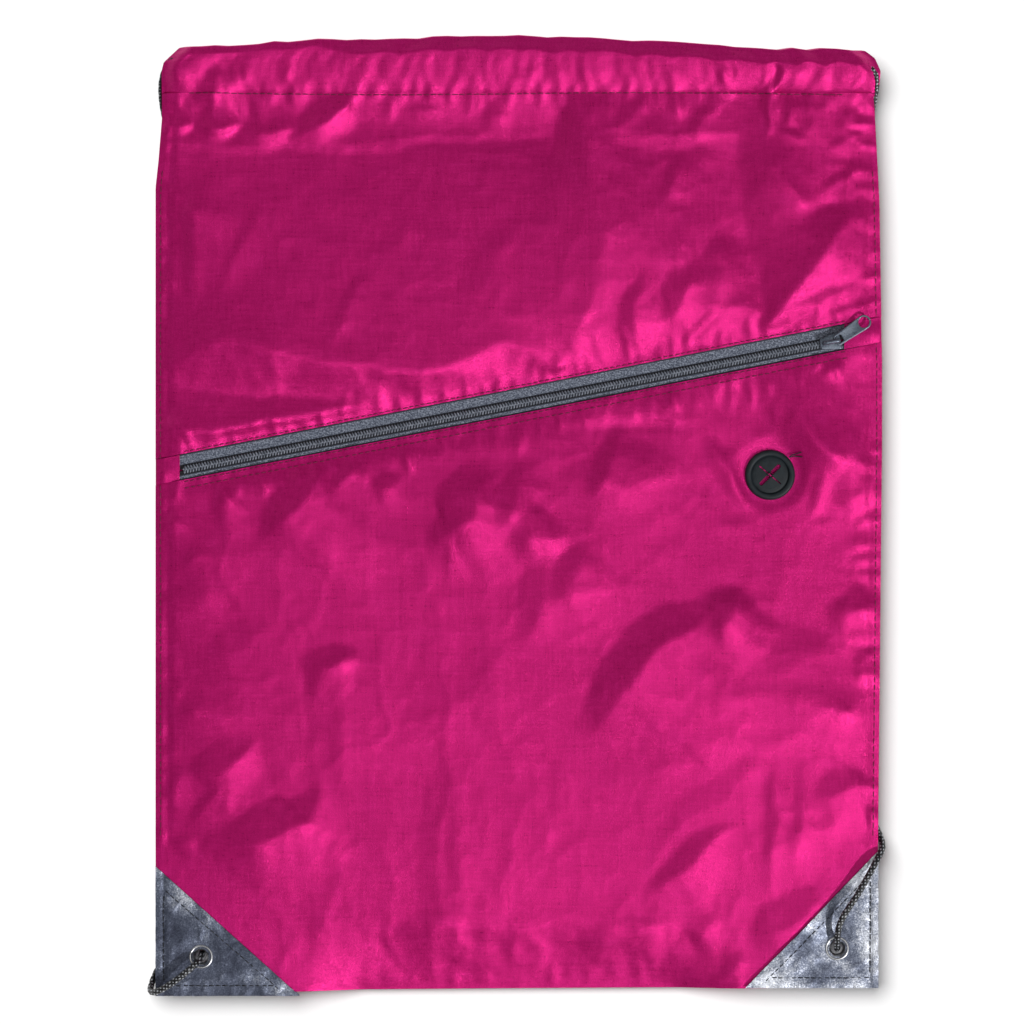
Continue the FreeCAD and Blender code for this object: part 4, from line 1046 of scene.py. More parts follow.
# ---------------------------------------------------------------- cords
# Route points from the knot through the eyelet, up the back, through both casings and down
# again. They stay close to the CAD tubes and are drawn in a few millimetres at the casings'
# ends and round the bottom corners.
RIGHT_ROUTE = [
    (143.6, -179.5, 3.6), (144.6, -185.5, 2.4), (145.8, -192.0, 2.4), (146.6, -197.2, 5.0),
    (146.0, -198.2, 11.0), (145.7, -194.0, 17.2), (145.9, -187.4, 20.2), (148.6, -181.4, 20.4),
    (152.4, -176.2, 19.6), (156.4, -170.0, 18.8), (160.6, -162.6, 17.6), (164.4, -156.2, 15.6),
    (167.2, -151.6, 11.2), (166.4, -146.6, 5.4), (162.4, -138.8, 1.6), (156.6, -127.4, 1.5),
    (153.6, -106.0, 1.5), (152.6, -66.0, 1.5), (153.4, -12.0, 1.5), (155.0, 46.0, 1.5),
    (155.2, 98.0, 1.5), (154.4, 130.0, 1.5), (156.6, 150.0, 1.6), (160.0, 167.0, 2.2),
    (161.6, 181.0, 4.8), (163.2, 191.0, 9.4), (164.4, 199.0, 13.0), (161.6, 204.8, 15.0),
    (154.0, 204.4, 14.8), (141.0, 202.4, 14.6), (110.0, 203.0, 14.6),
    (56.0, 202.2, 14.6), (0.0, 201.4, 14.6),
    (-56.0, 202.0, 14.6), (-110.0, 203.0, 14.6), (-143.0, 202.4, 14.6), (-153.4, 202.0, 14.6),
    (-157.0, 202.0, 11.0), (-157.0, 202.0, 6.0), (-153.4, 202.0, 2.4), (-143.0, 202.4, 2.4),
    (-110.0, 203.0, 2.4), (-56.0, 202.4, 2.4), (0.0, 201.6, 2.4), (56.0, 202.0, 2.4),
    (110.0, 203.0, 2.4), (141.0, 202.8, 2.4), (154.5, 202.4, 2.4), (160.6, 199.8, 2.3),
    (163.4, 193.6, 2.0), (162.4, 184.6, 1.6), (156.8, 171.6, 1.5), (150.2, 156.4, 1.5),
    (147.0, 134.0, 1.5), (146.8, 98.0, 1.5), (148.4, 46.0, 1.5), (148.8, -12.0, 1.5),
    (147.0, -66.0, 1.5), (146.4, -110.0, 1.5), (147.0, -140.0, 1.5), (145.4, -158.0, 1.8),
    (143.8, -170.0, 3.4),
]
LEFT_ROUTE = [
    (-141.4, -182.5, 3.6), (-142.4, -188.8, 2.4), (-143.4, -195.2, 2.4), (-144.6, -200.4, 5.2),
    (-144.5, -201.5, 12.2), (-145.9, -203.6, 18.2), (-150.8, -207.8, 19.6), (-156.4, -212.2, 18.6),
    (-162.0, -215.8, 16.4), (-166.6, -218.0, 12.8), (-168.4, -217.0, 7.6), (-166.6, -211.0, 3.0),
    (-162.8, -203.6, 1.6), (-159.0, -192.0, 1.5), (-155.2, -168.0, 1.5), (-153.4, -124.0, 1.5),
    (-152.8, -70.0, 1.5), (-153.8, -14.0, 1.5), (-155.2, 44.0, 1.5), (-155.0, 98.0, 1.5),
    (-154.4, 130.0, 1.5), (-157.2, 150.0, 1.6), (-159.6, 166.0, 2.0), (-160.8, 180.0, 4.2),
    (-161.2, 193.0, 8.0), (-161.2, 201.4, 11.4), (-159.4, 207.4, 14.0), (-152.4, 209.8, 14.6),
    (-139.0, 210.0, 14.6), (-110.0, 210.4, 14.6), (-56.0, 211.6, 14.6), (0.0, 212.4, 14.6),
    (56.0, 211.0, 14.6), (110.0, 208.8, 14.6), (143.0, 208.6, 14.6), (153.0, 208.4, 14.6),
    (156.6, 208.4, 11.0), (156.6, 208.4, 6.0), (153.0, 208.4, 2.4), (143.0, 208.6, 2.4),
    (110.0, 208.8, 2.4), (56.0, 210.4, 2.4), (0.0, 211.6, 2.4), (-56.0, 211.0, 2.4),
    (-110.0, 210.0, 2.4), (-139.0, 209.6, 2.4), (-154.5, 209.8, 2.4), (-160.6, 207.4, 2.2),
    (-163.4, 201.0, 1.9), (-163.6, 192.0, 1.6), (-161.6, 181.0, 1.5), (-156.4, 168.4, 1.5),
    (-149.8, 153.0, 1.5), (-146.8, 130.0, 1.5), (-147.0, 94.0, 1.5), (-148.8, 42.0, 1.5),
    (-148.6, -14.0, 1.5), (-147.0, -70.0, 1.5), (-146.6, -116.0, 1.5), (-147.0, -146.0, 1.5),
    (-144.6, -162.0, 1.8), (-142.0, -173.0, 3.4),
]
CORD_DIAMETER = 3.0
CORD_STEP = 0.45
CORD_SIDES = 20
BRAID_PITCH = 3.8
BRAID_STRANDS = 4


def smooth_route(name, route, resolution):
    """Points of the NURBS line whose control points are a route, in millimetres."""
    curve = bpy.data.curves.new(name, "CURVE")
    curve.dimensions = "3D"
    spline = curve.splines.new("NURBS")
    spline.points.add(len(route) - 1)
    for point, place in zip(spline.points, route):
        point.co = (*place, 1)
    spline.order_u = 3
    spline.use_endpoint_u = True
    spline.resolution_u = resolution
    holder = bpy.data.objects.new(name, curve)
    mesh = bpy.data.meshes.new_from_object(holder)
    points = np.array([tuple(vertex.co) for vertex in mesh.vertices])
    bpy.data.objects.remove(holder)
    bpy.data.meshes.remove(mesh)
    return points


def evenly(points, step):
    """The same line with its points an even step apart."""
    runs = np.linalg.norm(np.diff(points, axis=0), axis=1)
    passed = np.concatenate([[0], np.cumsum(runs)])
    count = int(passed[-1] / step) + 1
    wanted = np.linspace(0, passed[-1], count)
    return np.stack([np.interp(wanted, passed, points[:, axis]) for axis in range(3)], axis=1)


def braid(number, turn):
    """A round braid: two sets of strands that cross over and under as they wind."""
    along = number * CORD_STEP / BRAID_PITCH * 2 * math.pi
    over = np.cos(BRAID_STRANDS * turn + along)
    under = np.cos(BRAID_STRANDS * turn - along)
    return 0.88 + 0.12 * np.maximum(over, under)


def make_cord(name, route, material):
    """One braided cord, a tube along its route that ends in its knot."""
    line = evenly(smooth_route(name + "_line", route, 14), CORD_STEP)
    points, faces = tube_mesh(line, CORD_DIAMETER / 2, CORD_SIDES, relief=braid)
    piece = make_piece(name + "_braid", points, faces, material)
    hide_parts(name)


def make_knot(side, centre, turned, material):
    """An overhand knot with two short tails, tied in the cord behind a corner."""
    angle = np.linspace(0, 2 * math.pi, 97)
    loop = np.stack([1.28 * (np.sin(angle) + 2 * np.sin(2 * angle)),
                     0.92 * (np.cos(angle) - 2 * np.cos(2 * angle)),
                     -1.5 * np.sin(3 * angle)], axis=1)
    tails = [evenly(smooth_route("tail", points, 8), 0.5) for points in (
        [(-2.0, 0.6, 0.2), (-3.8, 1.0, -0.6), (-5.4, 0.4, -1.7), (-7.0, 0.9, -2.2)],
        [(2.0, -0.6, 0.2), (3.6, -1.4, -0.4), (5.2, -1.6, -1.5), (6.6, -2.4, -2.2)])]
    parts = [tube_mesh(loop, 1.35, 12, relief=braid)]
    parts += [tube_mesh(tail, 1.4, 12, relief=braid) for tail in tails]
    points, faces = joined(parts)
    across, along = math.cos(turned), math.sin(turned)
    spun = np.stack([points[:, 0] * across - points[:, 1] * along,
                     points[:, 0] * along + points[:, 1] * across, points[:, 2]], axis=1)
    piece = make_piece(f"cord_knot_{side}_tied", spun + np.array(centre), faces, material)
    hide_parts(f"cord_knot_{side}")
    return piece


def make_cords():
    """Both cords, each closed by a knot behind its own corner."""
    material = cord_material()
    right_knot = make_knot("right", (143.4, -174.8, 4.2), math.radians(88), material)
    left_knot = make_knot("left", (-141.2, -177.6, 4.2), math.radians(88), material)
    make_cord("cord_right", RIGHT_ROUTE, material)
    make_cord("cord_left", LEFT_ROUTE, material)


# ---------------------------------------------------------------- cloth pieces
def spread(rows, columns, low_edge, high_edge):
    """Places on the front between two lines across it, from side edge to side edge."""
    share = np.linspace(0, 1, columns)
    rise = np.linspace(0, 1, rows)
    # near enough to where each column crosses the two lines
    column_x = -165.0 + 331.0 * share
    low = low_edge(column_x)
    high = high_edge(column_x)
    along = low[None, :] + (high - low)[None, :] * rise[:, None]
    left = along_table(along, LEFT_EDGE)
    right = along_table(along, RIGHT_EDGE)
    across = left + (right - left) * share[None, :]
    return across, along


def round_hole(across, along, place, radius):
    """Which grid cells lie outside a round hole."""
    middle_x = (across[:-1, :-1] + across[1:, 1:]) / 2
    middle_y = (along[:-1, :-1] + along[1:, 1:]) / 2
    return np.hypot(middle_x - place[0], middle_y - place[1]) > radius


def outside_eyelets(across, along, radius):
    """Which grid cells lie outside both eyelets' holes."""
    return (round_hole(across, along, EYELETS["left"], radius)
            & round_hole(across, along, EYELETS["right"], radius))


def make_front(relief, material):
    """The front's two cloths, one each side of the zip."""
    across, along = spread(116, 266, lambda x: zip_line(x, ZIP_ABOVE), lambda x: 0 * x + HEM)
    grid = np.stack([across, along, relief.at(across, along)], axis=2)
    make_cloth("front_cloth_upper", "front_panel_upper", grid, CLOTH, material,
               flat=(0.33, 0.18), held="gathered", area=0.0475,
               rests_on=["pocket_lining", "zip_tape_upper"])

    across, along = spread(212, 266, lambda x: along_table(x, BOTTOM_EDGE),
                           lambda x: zip_line(x, ZIP_BELOW))
    keep = round_hole(across, along, PORT, PORT_HOLE)
    keep &= outside_eyelets(across, along, FRONT_HOLE)
    grid = np.stack([across, along, relief.at(across, along)], axis=2)
    make_cloth("front_cloth_lower", "front_panel_lower", grid, CLOTH, material, keep,
               flat=(0.33, 0.30), held="laid", area=0.0865,
               rests_on=["pocket_lining", "zip_tape_lower"])


def make_tabs(relief, material):
    """The plain cloth at each end of the zip, sewn across the tapes."""
    for name, first, last in (("zip_tab_left", -165.0, -154.2), ("zip_tab_right", 149.2, 165.6)):
        columns = np.linspace(first, last, 18)
        beside = np.linspace(ZIP_BELOW + 0.2, ZIP_ABOVE - 0.2, 22)
        across = np.repeat(columns[None, :], len(beside), axis=0)
        along = zip_line(columns)[None, :] + beside[:, None] / math.cos(ZIP_SLOPE)
        edge = np.minimum(across - along_table(along, LEFT_EDGE),
                          along_table(along, RIGHT_EDGE) - across)
        ridge = 0.45 * np.cos(beside / 2.1)[:, None] * np.exp(-(edge - 4) ** 2 / 30)
        level = 12.6 + 1.3 * smooth(edge / 4.5) + ridge
        grid = np.stack([across, along, level], axis=2)
        make_cloth(name + "_cloth", name, grid, 0.5, material,
                   flat=((last - first) * MM, 0.012), held="stretched",
                   rests_on=["zip_tape_upper", "zip_tape_lower"])


# the front casing: levels of its top, its underside and its flattened ends, the radius of its
# rolled edge, and half the length of its underside
CASING_COLUMNS = 300
CASING_TOP = 18.6
CASING_UNDER = 12.1
CASING_END = 11.8
CASING_ROLL = 0.9
CASING_HALF = 151.5


def casing_bulge(across, seed, size):
    """Slow unevenness along a casing, from -1 to 1."""
    chance = np.random.default_rng(seed)
    stops = np.arange(-176, 177, size)
    return np.interp(across, stops, chance.uniform(-1, 1, len(stops)))


def make_front_casing(relief, material):
    """The gathered casing at the mouth: up over the cords, round its top edge and back under."""
    share = np.linspace(0, 1, CASING_COLUMNS)
    across = -164.0 + 329.0 * share
    top = along_table(across, TOP_EDGE) + 0.55 * casing_bulge(across, 31, 7.0)
    scallop = np.abs(np.sin(across / 5.6 + 1.3 * casing_bulge(across, 32, 16.0)))
    crest = top - 7.4 + 1.5 * scallop + 0.8 * casing_bulge(across, 33, 24.0)
    dull = smooth((across + 100) / 22)
    crest = crest * dull + (top - 3.6) * (1 - dull)
    high = CASING_TOP + 0.4 * casing_bulge(across, 34, 11.0)
    end = smooth((165.2 - np.abs(across)) / 9.0)
    hem = relief.at(across, 0 * across + HEM)
    rows = []
    # up from the hem over the cords, with one deep pucker
    for rise in np.linspace(0, 1, 20):
        along = HEM + (crest - HEM) * rise
        swell = math.sin(rise * math.pi / 2) ** 0.75
        level = hem + (high - hem) * swell
        detail = relief.at(across, along) - hem
        off = across - (116.4 + 0.11 * (along - HEM))
        detail = detail - 1.7 * np.exp(-(off / 1.1) ** 2) + 0.9 * np.exp(-((off - 2.6) / 1.8) ** 2)
        rows.append((along, level + 0.65 * detail * math.sin(rise * math.pi)))
    # down from the crest to the rolled edge, round it, and back under to the hem
    drop = CASING_ROLL + 2.0 * dull
    for down in np.linspace(0, 1, 8)[1:]:
        rows.append((crest + (top - CASING_ROLL - crest) * down, high - drop * down))
    middle = (high - drop + CASING_UNDER) / 2
    for turn in np.linspace(0, math.pi, 9)[1:]:
        rows.append((top - CASING_ROLL + CASING_ROLL * math.sin(turn),
                     middle + (high - drop - middle) * math.cos(turn)))
    for rise in np.linspace(0, 1, 12)[1:]:
        rows.append((top - CASING_ROLL + (HEM + 0.6 - top + CASING_ROLL) * rise,
                     0 * across + CASING_UNDER))
    grid = np.zeros((len(rows), CASING_COLUMNS, 3))
    for number, (along, level) in enumerate(rows):
        left = along_table(along, LEFT_EDGE)
        right = along_table(along, RIGHT_EDGE)
        under = smooth((number - 27) / 7)
        reach_left = left * (1 - under) - CASING_HALF * under
        reach_right = right * (1 - under) + CASING_HALF * under
        level = CASING_END + (level - CASING_END) * (0.30 + 0.70 * end)
        grid[number, :, 0] = reach_left + (reach_right - reach_left) * share
        grid[number, :, 1] = along
        grid[number, :, 2] = level
    make_cloth("front_casing_cloth", "front_casing", grid, CLOTH, material,
               flat=(0.36, 0.06), held="gathered", area=0.0205,
               rests_on=["cord_left", "cord_right"])


def make_back_casing(material):
    """The casing behind the mouth, lying on the floor with the cords inside."""
    columns = 200
    share = np.linspace(0, 1, columns)
    across = -152.0 + 304.0 * share
    top = along_table(across, TOP_EDGE) - 0.8 + 0.4 * casing_bulge(across, 41, 8.0)
    swell = 0.35 * casing_bulge(across, 42, 6.0)
    outline = [(HEM, 0.9), (HEM + 2, 2.6), (197.5, 4.9), (201.0, 5.6)]
    rows = [(0 * across + along, level + swell * (level > 2)) for along, level in outline]
    for turn in np.linspace(0, math.pi, 13):
        along = top - 4.0 + 4.0 * math.sin(turn)
        rows.append((along, 3.0 + (2.6 + swell * 0.5 * (turn < 1.6)) * math.cos(turn)))
    rows += [(0 * across + along, 0 * across + 0.35) for along in (203.0, 199.0, 195.0, 190.0)]
    grid = np.zeros((len(rows), columns, 3))
    for number, (along, level) in enumerate(rows):
        grid[number] = np.stack([across, along, level], axis=1)
    make_cloth("back_casing_cloth", "back_casing", grid, 0.4, material, lowest=0.12,
               flat=(0.33, 0.06), held="gathered", area=0.0185,
               rests_on=["cord_left", "cord_right"])


def make_lining(material):
    """The pocket's lining, between the front and the back."""
    across, along = spread(90, 120, lambda x: along_table(x, BOTTOM_EDGE) + 0.4,
                           lambda x: zip_line(x, 8.0))
    level = section_level(LINING_SECTIONS, across, along) + 0.42
    grid = np.stack([across, along, level], axis=2)
    make_cloth("pocket_lining_cloth", "pocket_lining", grid, 0.35, material,
               outside_eyelets(across, along, LINING_HOLE),
               flat=(0.33, 0.30), held="laid", area=0.0885, rests_on=["back_panel"])


def make_back(relief, material):
    """The back of the bag, lightly wrinkled where it lies on the floor."""
    across, along = spread(240, 200, lambda x: along_table(x, BOTTOM_EDGE) + 0.2,
                           lambda x: 0 * x + HEM)
    narrow = np.minimum(1, (150 + 16 * smooth((193 - along) / 40)) / np.abs(across).clip(1))
    across = across * np.where(along > 150, narrow, 1)
    level = section_level(BACK_SECTIONS, across, along)
    waves = (cloud(relief, 30, 48, 51) + 0.6 * cloud(relief, 12, 16, 52)
             + 0.5 * cloud(relief, 7, 60, 53))
    wrinkle = np.clip(sample(waves, relief.x, relief.y, across, along) + 0.2, 0, 2)
    lift = 0.9 * wrinkle * smooth((9.4 - level) / 3.0) * smooth((192 - along) / 8)
    grid = np.stack([across, along, level + lift + CLOTH + 0.12], axis=2)
    make_cloth("back_cloth", "back_panel", grid, CLOTH, material,
               outside_eyelets(across, along, FRONT_HOLE), lowest=0.08,
               flat=(0.35, 0.43), held="laid", area=0.139, rests_on=["cord_left"])


# ---------------------------------------------------------------- corner patches
# each patch's corner, then the X of its toe along the bottom and the Y of its top up the side
PATCHES = {"left": (-165.3, -219.2, -99.5, -160.0), "right": (164.8, -215.6, 104.0, -153.0)}
PATCH_SEEDS = {"left": 81, "right": 82}
PATCH_LEVEL = 0.75
PATCH_CELLS = 64


def patch_grid(side):
    """Places over a patch's triangle, from its corner out to the slanting edge."""
    corner_x, corner_y, toe, top = PATCHES[side]
    first = np.linspace(0, 1, PATCH_CELLS)[None, :]
    second = np.linspace(0, 1, PATCH_CELLS)[:, None]
    # both edges of the square run to the slanting side, bent a little outwards
    out = np.maximum(first, second)
    blend = np.where(out > 0, (first - second) / np.maximum(out, 1e-6), 0) / 2 + 0.5
    across = corner_x + (toe - corner_x) * out * blend
    along = corner_y + (top - corner_y) * out * (1 - blend)
    bow = 1.2 * np.sin(blend * math.pi) * out * (1 if side == "right" else -1)
    return across + bow * 0.7, along + abs(bow) * 0.7


def make_patches(relief, materials):
    """A crumpled patch on the front of each bottom corner and a plain one behind it."""
    crumpled = (1 - np.abs(cloud(relief, 7, 6, 63) + 0.5 * cloud(relief, 3.2, 3.0, 64))) ** 2
    for side, place in EYELETS.items():
        corner_x, corner_y, toe, top = PATCHES[side]
        across, along = patch_grid(side)
        lean = sample(crumpled, relief.x, relief.y, across, along)
        calm = smooth((np.hypot(across - place[0], along - place[1]) - 6.0) / 4.0)
        seam = 0.5 * np.exp(-((np.abs(across - corner_x) - 3.7) / 1.0) ** 2)
        under = relief.at(across, along)
        level = under + PATCH_LEVEL + (0.5 * lean - seam) * calm * 0.9
        front = np.stack([across, along, np.maximum(level, under + 0.62)], axis=2)
        back = np.stack([across, along, section_level(BACK_SECTIONS, across, along) - 0.05], axis=2)
        keep = round_hole(across, along, place, FRONT_HOLE)
        # the left patch's grid is a mirror image, so its columns are turned round to face up
        if side == "left":
            front, back, keep = front[:, ::-1], back[:, ::-1], keep[:, ::-1]
        flat = (abs(toe - corner_x) * MM, abs(top - corner_y) * MM)
        for face, grid, thickness, under_it in (("front", front, 0.5, "front_cloth_lower"),
                                                ("back", back, 0.55, "back_cloth")):
            node = f"corner_patch_{face}_{side}"
            make_cloth(node + "_cloth", node, grid, thickness, materials[side], keep,
                       "patch_leather", flat=flat, held="stretched",
                       area=flat[0] * flat[1] / 2, rests_on=[under_it])


# ---------------------------------------------------------------- zip
# both ends of the coils, from the middle along the zip; a loop's length, and its thread's radius
COIL_ENDS = (-155.4, 149.8)
COIL_PITCH = 1.32
COIL_STEPS = 14
COIL_SIDES = 7
THREAD = 0.37


def make_coils(material):
    """Two rows of spiral teeth, each loop locked between two of the other row's."""
    for name, side, shift in (("zip_coil_upper", 1, 0.0), ("zip_coil_lower", -1, 0.5)):
        turns = np.arange(*COIL_ENDS, COIL_PITCH / COIL_STEPS)
        angle = (turns / COIL_PITCH + shift) * 2 * math.pi
        beside = side * (0.64 + 0.80 * np.cos(angle))
        up = 14.1 + 0.52 * np.sin(angle) + 0.12 * np.cos(2 * angle)
        path = np.stack(zip_point(turns, beside, up), axis=1)
        points, faces = tube_mesh(path, THREAD, COIL_SIDES)
        coil = make_piece(name + "_teeth", points, faces, material)
        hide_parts(name)


def flat_plate(name, outline, holes, half, bevel, level, place):
    """A plate with rounded edges from outlines given in its own plane, as a mesh."""
    curve = bpy.data.curves.new(name, "CURVE")
    curve.dimensions = "2D"
    curve.fill_mode = "BOTH"
    curve.extrude = half - bevel
    curve.bevel_depth = bevel
    curve.bevel_resolution = 3
    curve.offset = -bevel
    for loop in [outline] + holes:
        spline = curve.splines.new("POLY")
        spline.points.add(len(loop) - 1)
        for point, (across, along) in zip(spline.points, loop):
            point.co = (across, along, 0, 1)
        spline.use_cyclic_u = True
    holder = bpy.data.objects.new(name, curve)
    mesh = bpy.data.meshes.new_from_object(holder)
    bpy.data.objects.remove(holder)
    cleaner = bmesh.new()
    cleaner.from_mesh(mesh)
    bmesh.ops.remove_doubles(cleaner, verts=cleaner.verts, dist=0.002)
    bmesh.ops.recalc_face_normals(cleaner, faces=cleaner.faces)
    for vertex in cleaner.verts:
        vertex.co = Vector(place(vertex.co.x, vertex.co.y, level + vertex.co.z)) * MM
    cleaner.to_mesh(mesh)
    cleaner.free()
    return mesh


def arc(centre, radius, start, end, count=18):
    """Points of an arc, its angles in degrees."""
    return [(centre[0] + radius * math.cos(math.radians(angle)),
             centre[1] + radius * math.sin(math.radians(angle)))
            for angle in np.linspace(start, end, count)]


# the slider's place along the zip, and the pull's hinge: its place, direction and level
SLIDER_PLACE = 145.2
PULL_PIVOT = (145.40, 79.71)
PULL_TURN = math.radians(34.5)
PULL_LEVEL = 16.7


def slider_place(along, beside, up):
    return zip_point(SLIDER_PLACE + along, beside, up)


def pull_place(along, beside, up):
    return (PULL_PIVOT[0] + along * math.cos(PULL_TURN) - beside * math.sin(PULL_TURN),
            PULL_PIVOT[1] + along * math.sin(PULL_TURN) + beside * math.cos(PULL_TURN), up)


def make_slider(material):
    """The slider's two plates, its side flanges and the bridge that holds the pull."""
    plate = (arc((3.2, 2.1), 1.8, -10, 90) + arc((-3.1, 1.3), 1.4, 90, 180, 8)
             + arc((-3.1, -1.3), 1.4, 180, 270, 8) + arc((3.2, -2.1), 1.8, 270, 370))
    meshes = [flat_plate("slider_top", plate, [], half=0.45, bevel=0.3, level=15.5,
                         place=slider_place),
              flat_plate("slider_bottom", plate, [], half=0.4, bevel=0.25, level=12.1,
                         place=slider_place)]
    for side in (-1, 1):
        rail = [(-3.4, side * 2.45), (3.6, side * 3.5), (3.6, side * 3.85), (-3.4, side * 2.8)]
        meshes.append(flat_plate("slider_rail", rail, [], half=0.6, bevel=0.08, level=14.7,
                                 place=slider_place))
    arch = [(-3.0, 0, 15.7), (-3.0, 0, 17.3), (-2.1, 0, 18.2), (0.0, 0, 18.3), (1.6, 0, 18.3),
            (4.1, 0, 18.2), (4.5, 0, 17.0), (4.4, 0, 15.7)]
    line = smooth_route("bridge", arch, 10)
    points, faces = tube_mesh(line, 0.62, 14)
    points[:, 1] *= 1.45
    placed = [slider_place(*point) for point in points]
    bridge = bpy.data.meshes.new("slider_bridge")
    bridge.from_pydata([tuple(np.array(point) * MM) for point in placed], [], faces)
    meshes.append(bridge)
    whole = bmesh.new()
    for mesh in meshes:
        whole.from_mesh(mesh)
    body = bpy.data.meshes.new("zip_slider_body")
    whole.to_mesh(body)
    whole.free()
    piece = add_piece("zip_slider_body", body, material, "slider")
    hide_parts("zip_slider")


def make_pull(material):
    """The flat pull: a window for the bridge at its neck and a round hole at its end."""
    reach = 15.1
    outline = (arc((reach, 0), 3.35, -84, 84, 28) + [(2.4, 2.72)]
               + arc((0.35, 1.88), 0.77, 90, 180, 6) + arc((0.35, -1.88), 0.77, 180, 270, 6)
               + [(2.4, -2.72)])
    window = (arc((2.3, 0.85), 0.9, 0, 90, 6) + arc((0.85, 1.25), 0.5, 90, 180, 6)
              + arc((0.85, -1.25), 0.5, 180, 270, 6) + arc((2.3, -0.85), 0.9, 270, 360, 6))
    hole = arc((reach, 0), 2.5, 0, 345, 30)
    mesh = flat_plate("zip_pull_plate", outline, [window, hole], half=0.5, bevel=0.28,
                      level=PULL_LEVEL, place=pull_place)
    piece = add_piece("zip_pull_plate", mesh, material, "pull")
    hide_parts("zip_pull")


# ---------------------------------------------------------------- eyelets and port
# profiles of the turned fittings: (radius, level)
RING_PROFILE = [(2.75, 8.3), (2.75, 10.6), (3.3, 11.9), (4.2, 12.6), (4.5, 13.3), (5.0, 13.5),
                (5.5, 13.1), (5.5, 12.5), (4.9, 12.2), (3.5, 11.6), (3.25, 10.8), (3.25, 8.3)]
WASHER_PROFILE = [(3.3, 7.95), (3.3, 8.6), (5.3, 8.62), (5.4, 8.2), (4.6, 7.9), (3.8, 7.75)]
RIM_PROFILE = [(8.4, 13.5), (8.6, 14.7), (9.1, 15.2), (10.4, 15.3), (11.2, 14.8), (11.5, 13.7),
               (11.3, 13.3), (8.7, 13.3)]
NECK_PROFILE = [(7.4, 11.95), (7.4, 13.7), (8.5, 13.8), (8.5, 11.95)]
EYELET_STEPS = 56


def make_eyelets(material):
    """Rolled metal rings with a barrel through the corner, and a washer behind."""
    for side, centre in EYELETS.items():
        points, faces = lathe(rounded(RING_PROFILE), centre, EYELET_STEPS)
        ring = make_piece(f"eyelet_{side}_ring", points, faces, material)
        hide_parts(f"eyelet_{side}")
        points, faces = lathe(rounded(WASHER_PROFILE), centre, EYELET_STEPS)
        washer = make_piece(f"eyelet_{side}_washer", points, faces, material)
        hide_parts(f"eyelet_washer_{side}")


SLIT_HALF = 6.7
DISH_RADIUS = 8.8
# the slits' four arms: the way each one points, in degrees, and how far it gapes
SLIT_ARMS = [(45.0, 1.8), (140.0, 0.6), (225.0, 1.8), (320.0, 0.6), (405.0, 1.8)]
FLAP_ROWS = 34
FLAP_COLUMNS = 26


def ray(angle):
    """The unit direction at an angle in radians."""
    return np.array([math.cos(angle), math.sin(angle)])


def port_dish():
    """The dished middle: four flaps between the crossed slits, curling up at their tips."""
    flaps = []
    for (first_arm, first_gape), (second_arm, second_gape) in zip(SLIT_ARMS, SLIT_ARMS[1:]):
        low = math.radians(first_arm)
        high = math.radians(second_arm)
        from_low = first_gape / 2 * np.array([-math.sin(low), math.cos(low)])
        from_high = second_gape / 2 * np.array([math.sin(high), -math.cos(high)])
        grid = np.zeros((FLAP_ROWS, FLAP_COLUMNS, 3))
        for row, out in enumerate(np.linspace(0.0, DISH_RADIUS, FLAP_ROWS)):
            slit = float(1 - smooth((out - SLIT_HALF + 0.7) / 0.7))
            lift = 14.25 + 0.35 * (1 - out / 8.9) ** 2 - 0.6 * (out / 8.9) ** 10
            for column, share in enumerate(np.linspace(0, 1, FLAP_COLUMNS)):
                gape = slit * (from_low * (1 - share) + from_high * share)
                inward = slit * 0.5 * (1 - out / 9.0) * math.sin(share * math.pi)
                tip = ray(low + (high - low) * share) * out + gape + inward * ray((low + high) / 2)
                grid[row, column] = (PORT[0] + tip[0], PORT[1] + tip[1], lift)
        flaps.append(cloth_mesh(grid[:, ::-1], 0.6))
    return joined(flaps)


def make_port(material):
    """The rubber port: its raised rim, its neck through the cloth and its dished middle."""
    ring = lathe(rounded(RIM_PROFILE), PORT, 96)
    neck = lathe(rounded(NECK_PROFILE, 1), PORT, 72)
    points, faces = joined([ring, neck, port_dish()])
    port = make_piece("earphone_port_rubber", points, faces, material)
    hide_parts("earphone_port")


def make_loose_ends(relief, material):
    """Two cut ends of the thread that holds the port, lying on the cloth beside it."""
    parts = []
    for points in ([(8.6, 8.2), (10.0, 9.1), (11.8, 9.6), (14.2, 10.4)],
                   [(8.8, 8.0), (10.6, 8.6), (12.2, 8.4), (14.6, 8.2)]):
        across, along = (np.array(points) + PORT).T
        up = relief.at(across, along) + (1.7, 1.4, 0.8, 0.5)
        parts.append(tube_mesh(evenly(np.stack([across, along, up], axis=1), 0.25), 0.22, 6))
    points, faces = joined(parts)
    make_piece("port_thread_ends", points, faces, material)


# ---------------------------------------------------------------- stitching
STITCH_STEP = 0.25
PATCH_SEAM = 3.7
PATCH_BASE_SEAM = 4.7


def stitch_line(line, level, length, gap, seed, radius=0.24):
    """Separate stitches along a line of (x, y), each dipping into the cloth at its ends."""
    chance = np.random.default_rng(seed)
    line = evenly(np.array([(*point, 0.0) for point in line]), STITCH_STEP)
    parts = []
    pitch = int((length + gap) / STITCH_STEP)
    span = max(4, int(length / STITCH_STEP))
    for first in range(0, len(line) - span, pitch):
        run = line[first:first + span + 1:max(1, span // 5)]
        side = chance.normal(0, 0.05, 2)
        rise = np.sin(np.linspace(0, math.pi, len(run)))
        up = level(run[:, 0], run[:, 1]) - 0.10 + 0.34 * rise
        path = np.stack([run[:, 0] + side[0], run[:, 1] + side[1], up], axis=1)
        parts.append(tube_mesh(path, radius, 6))
    return joined(parts)


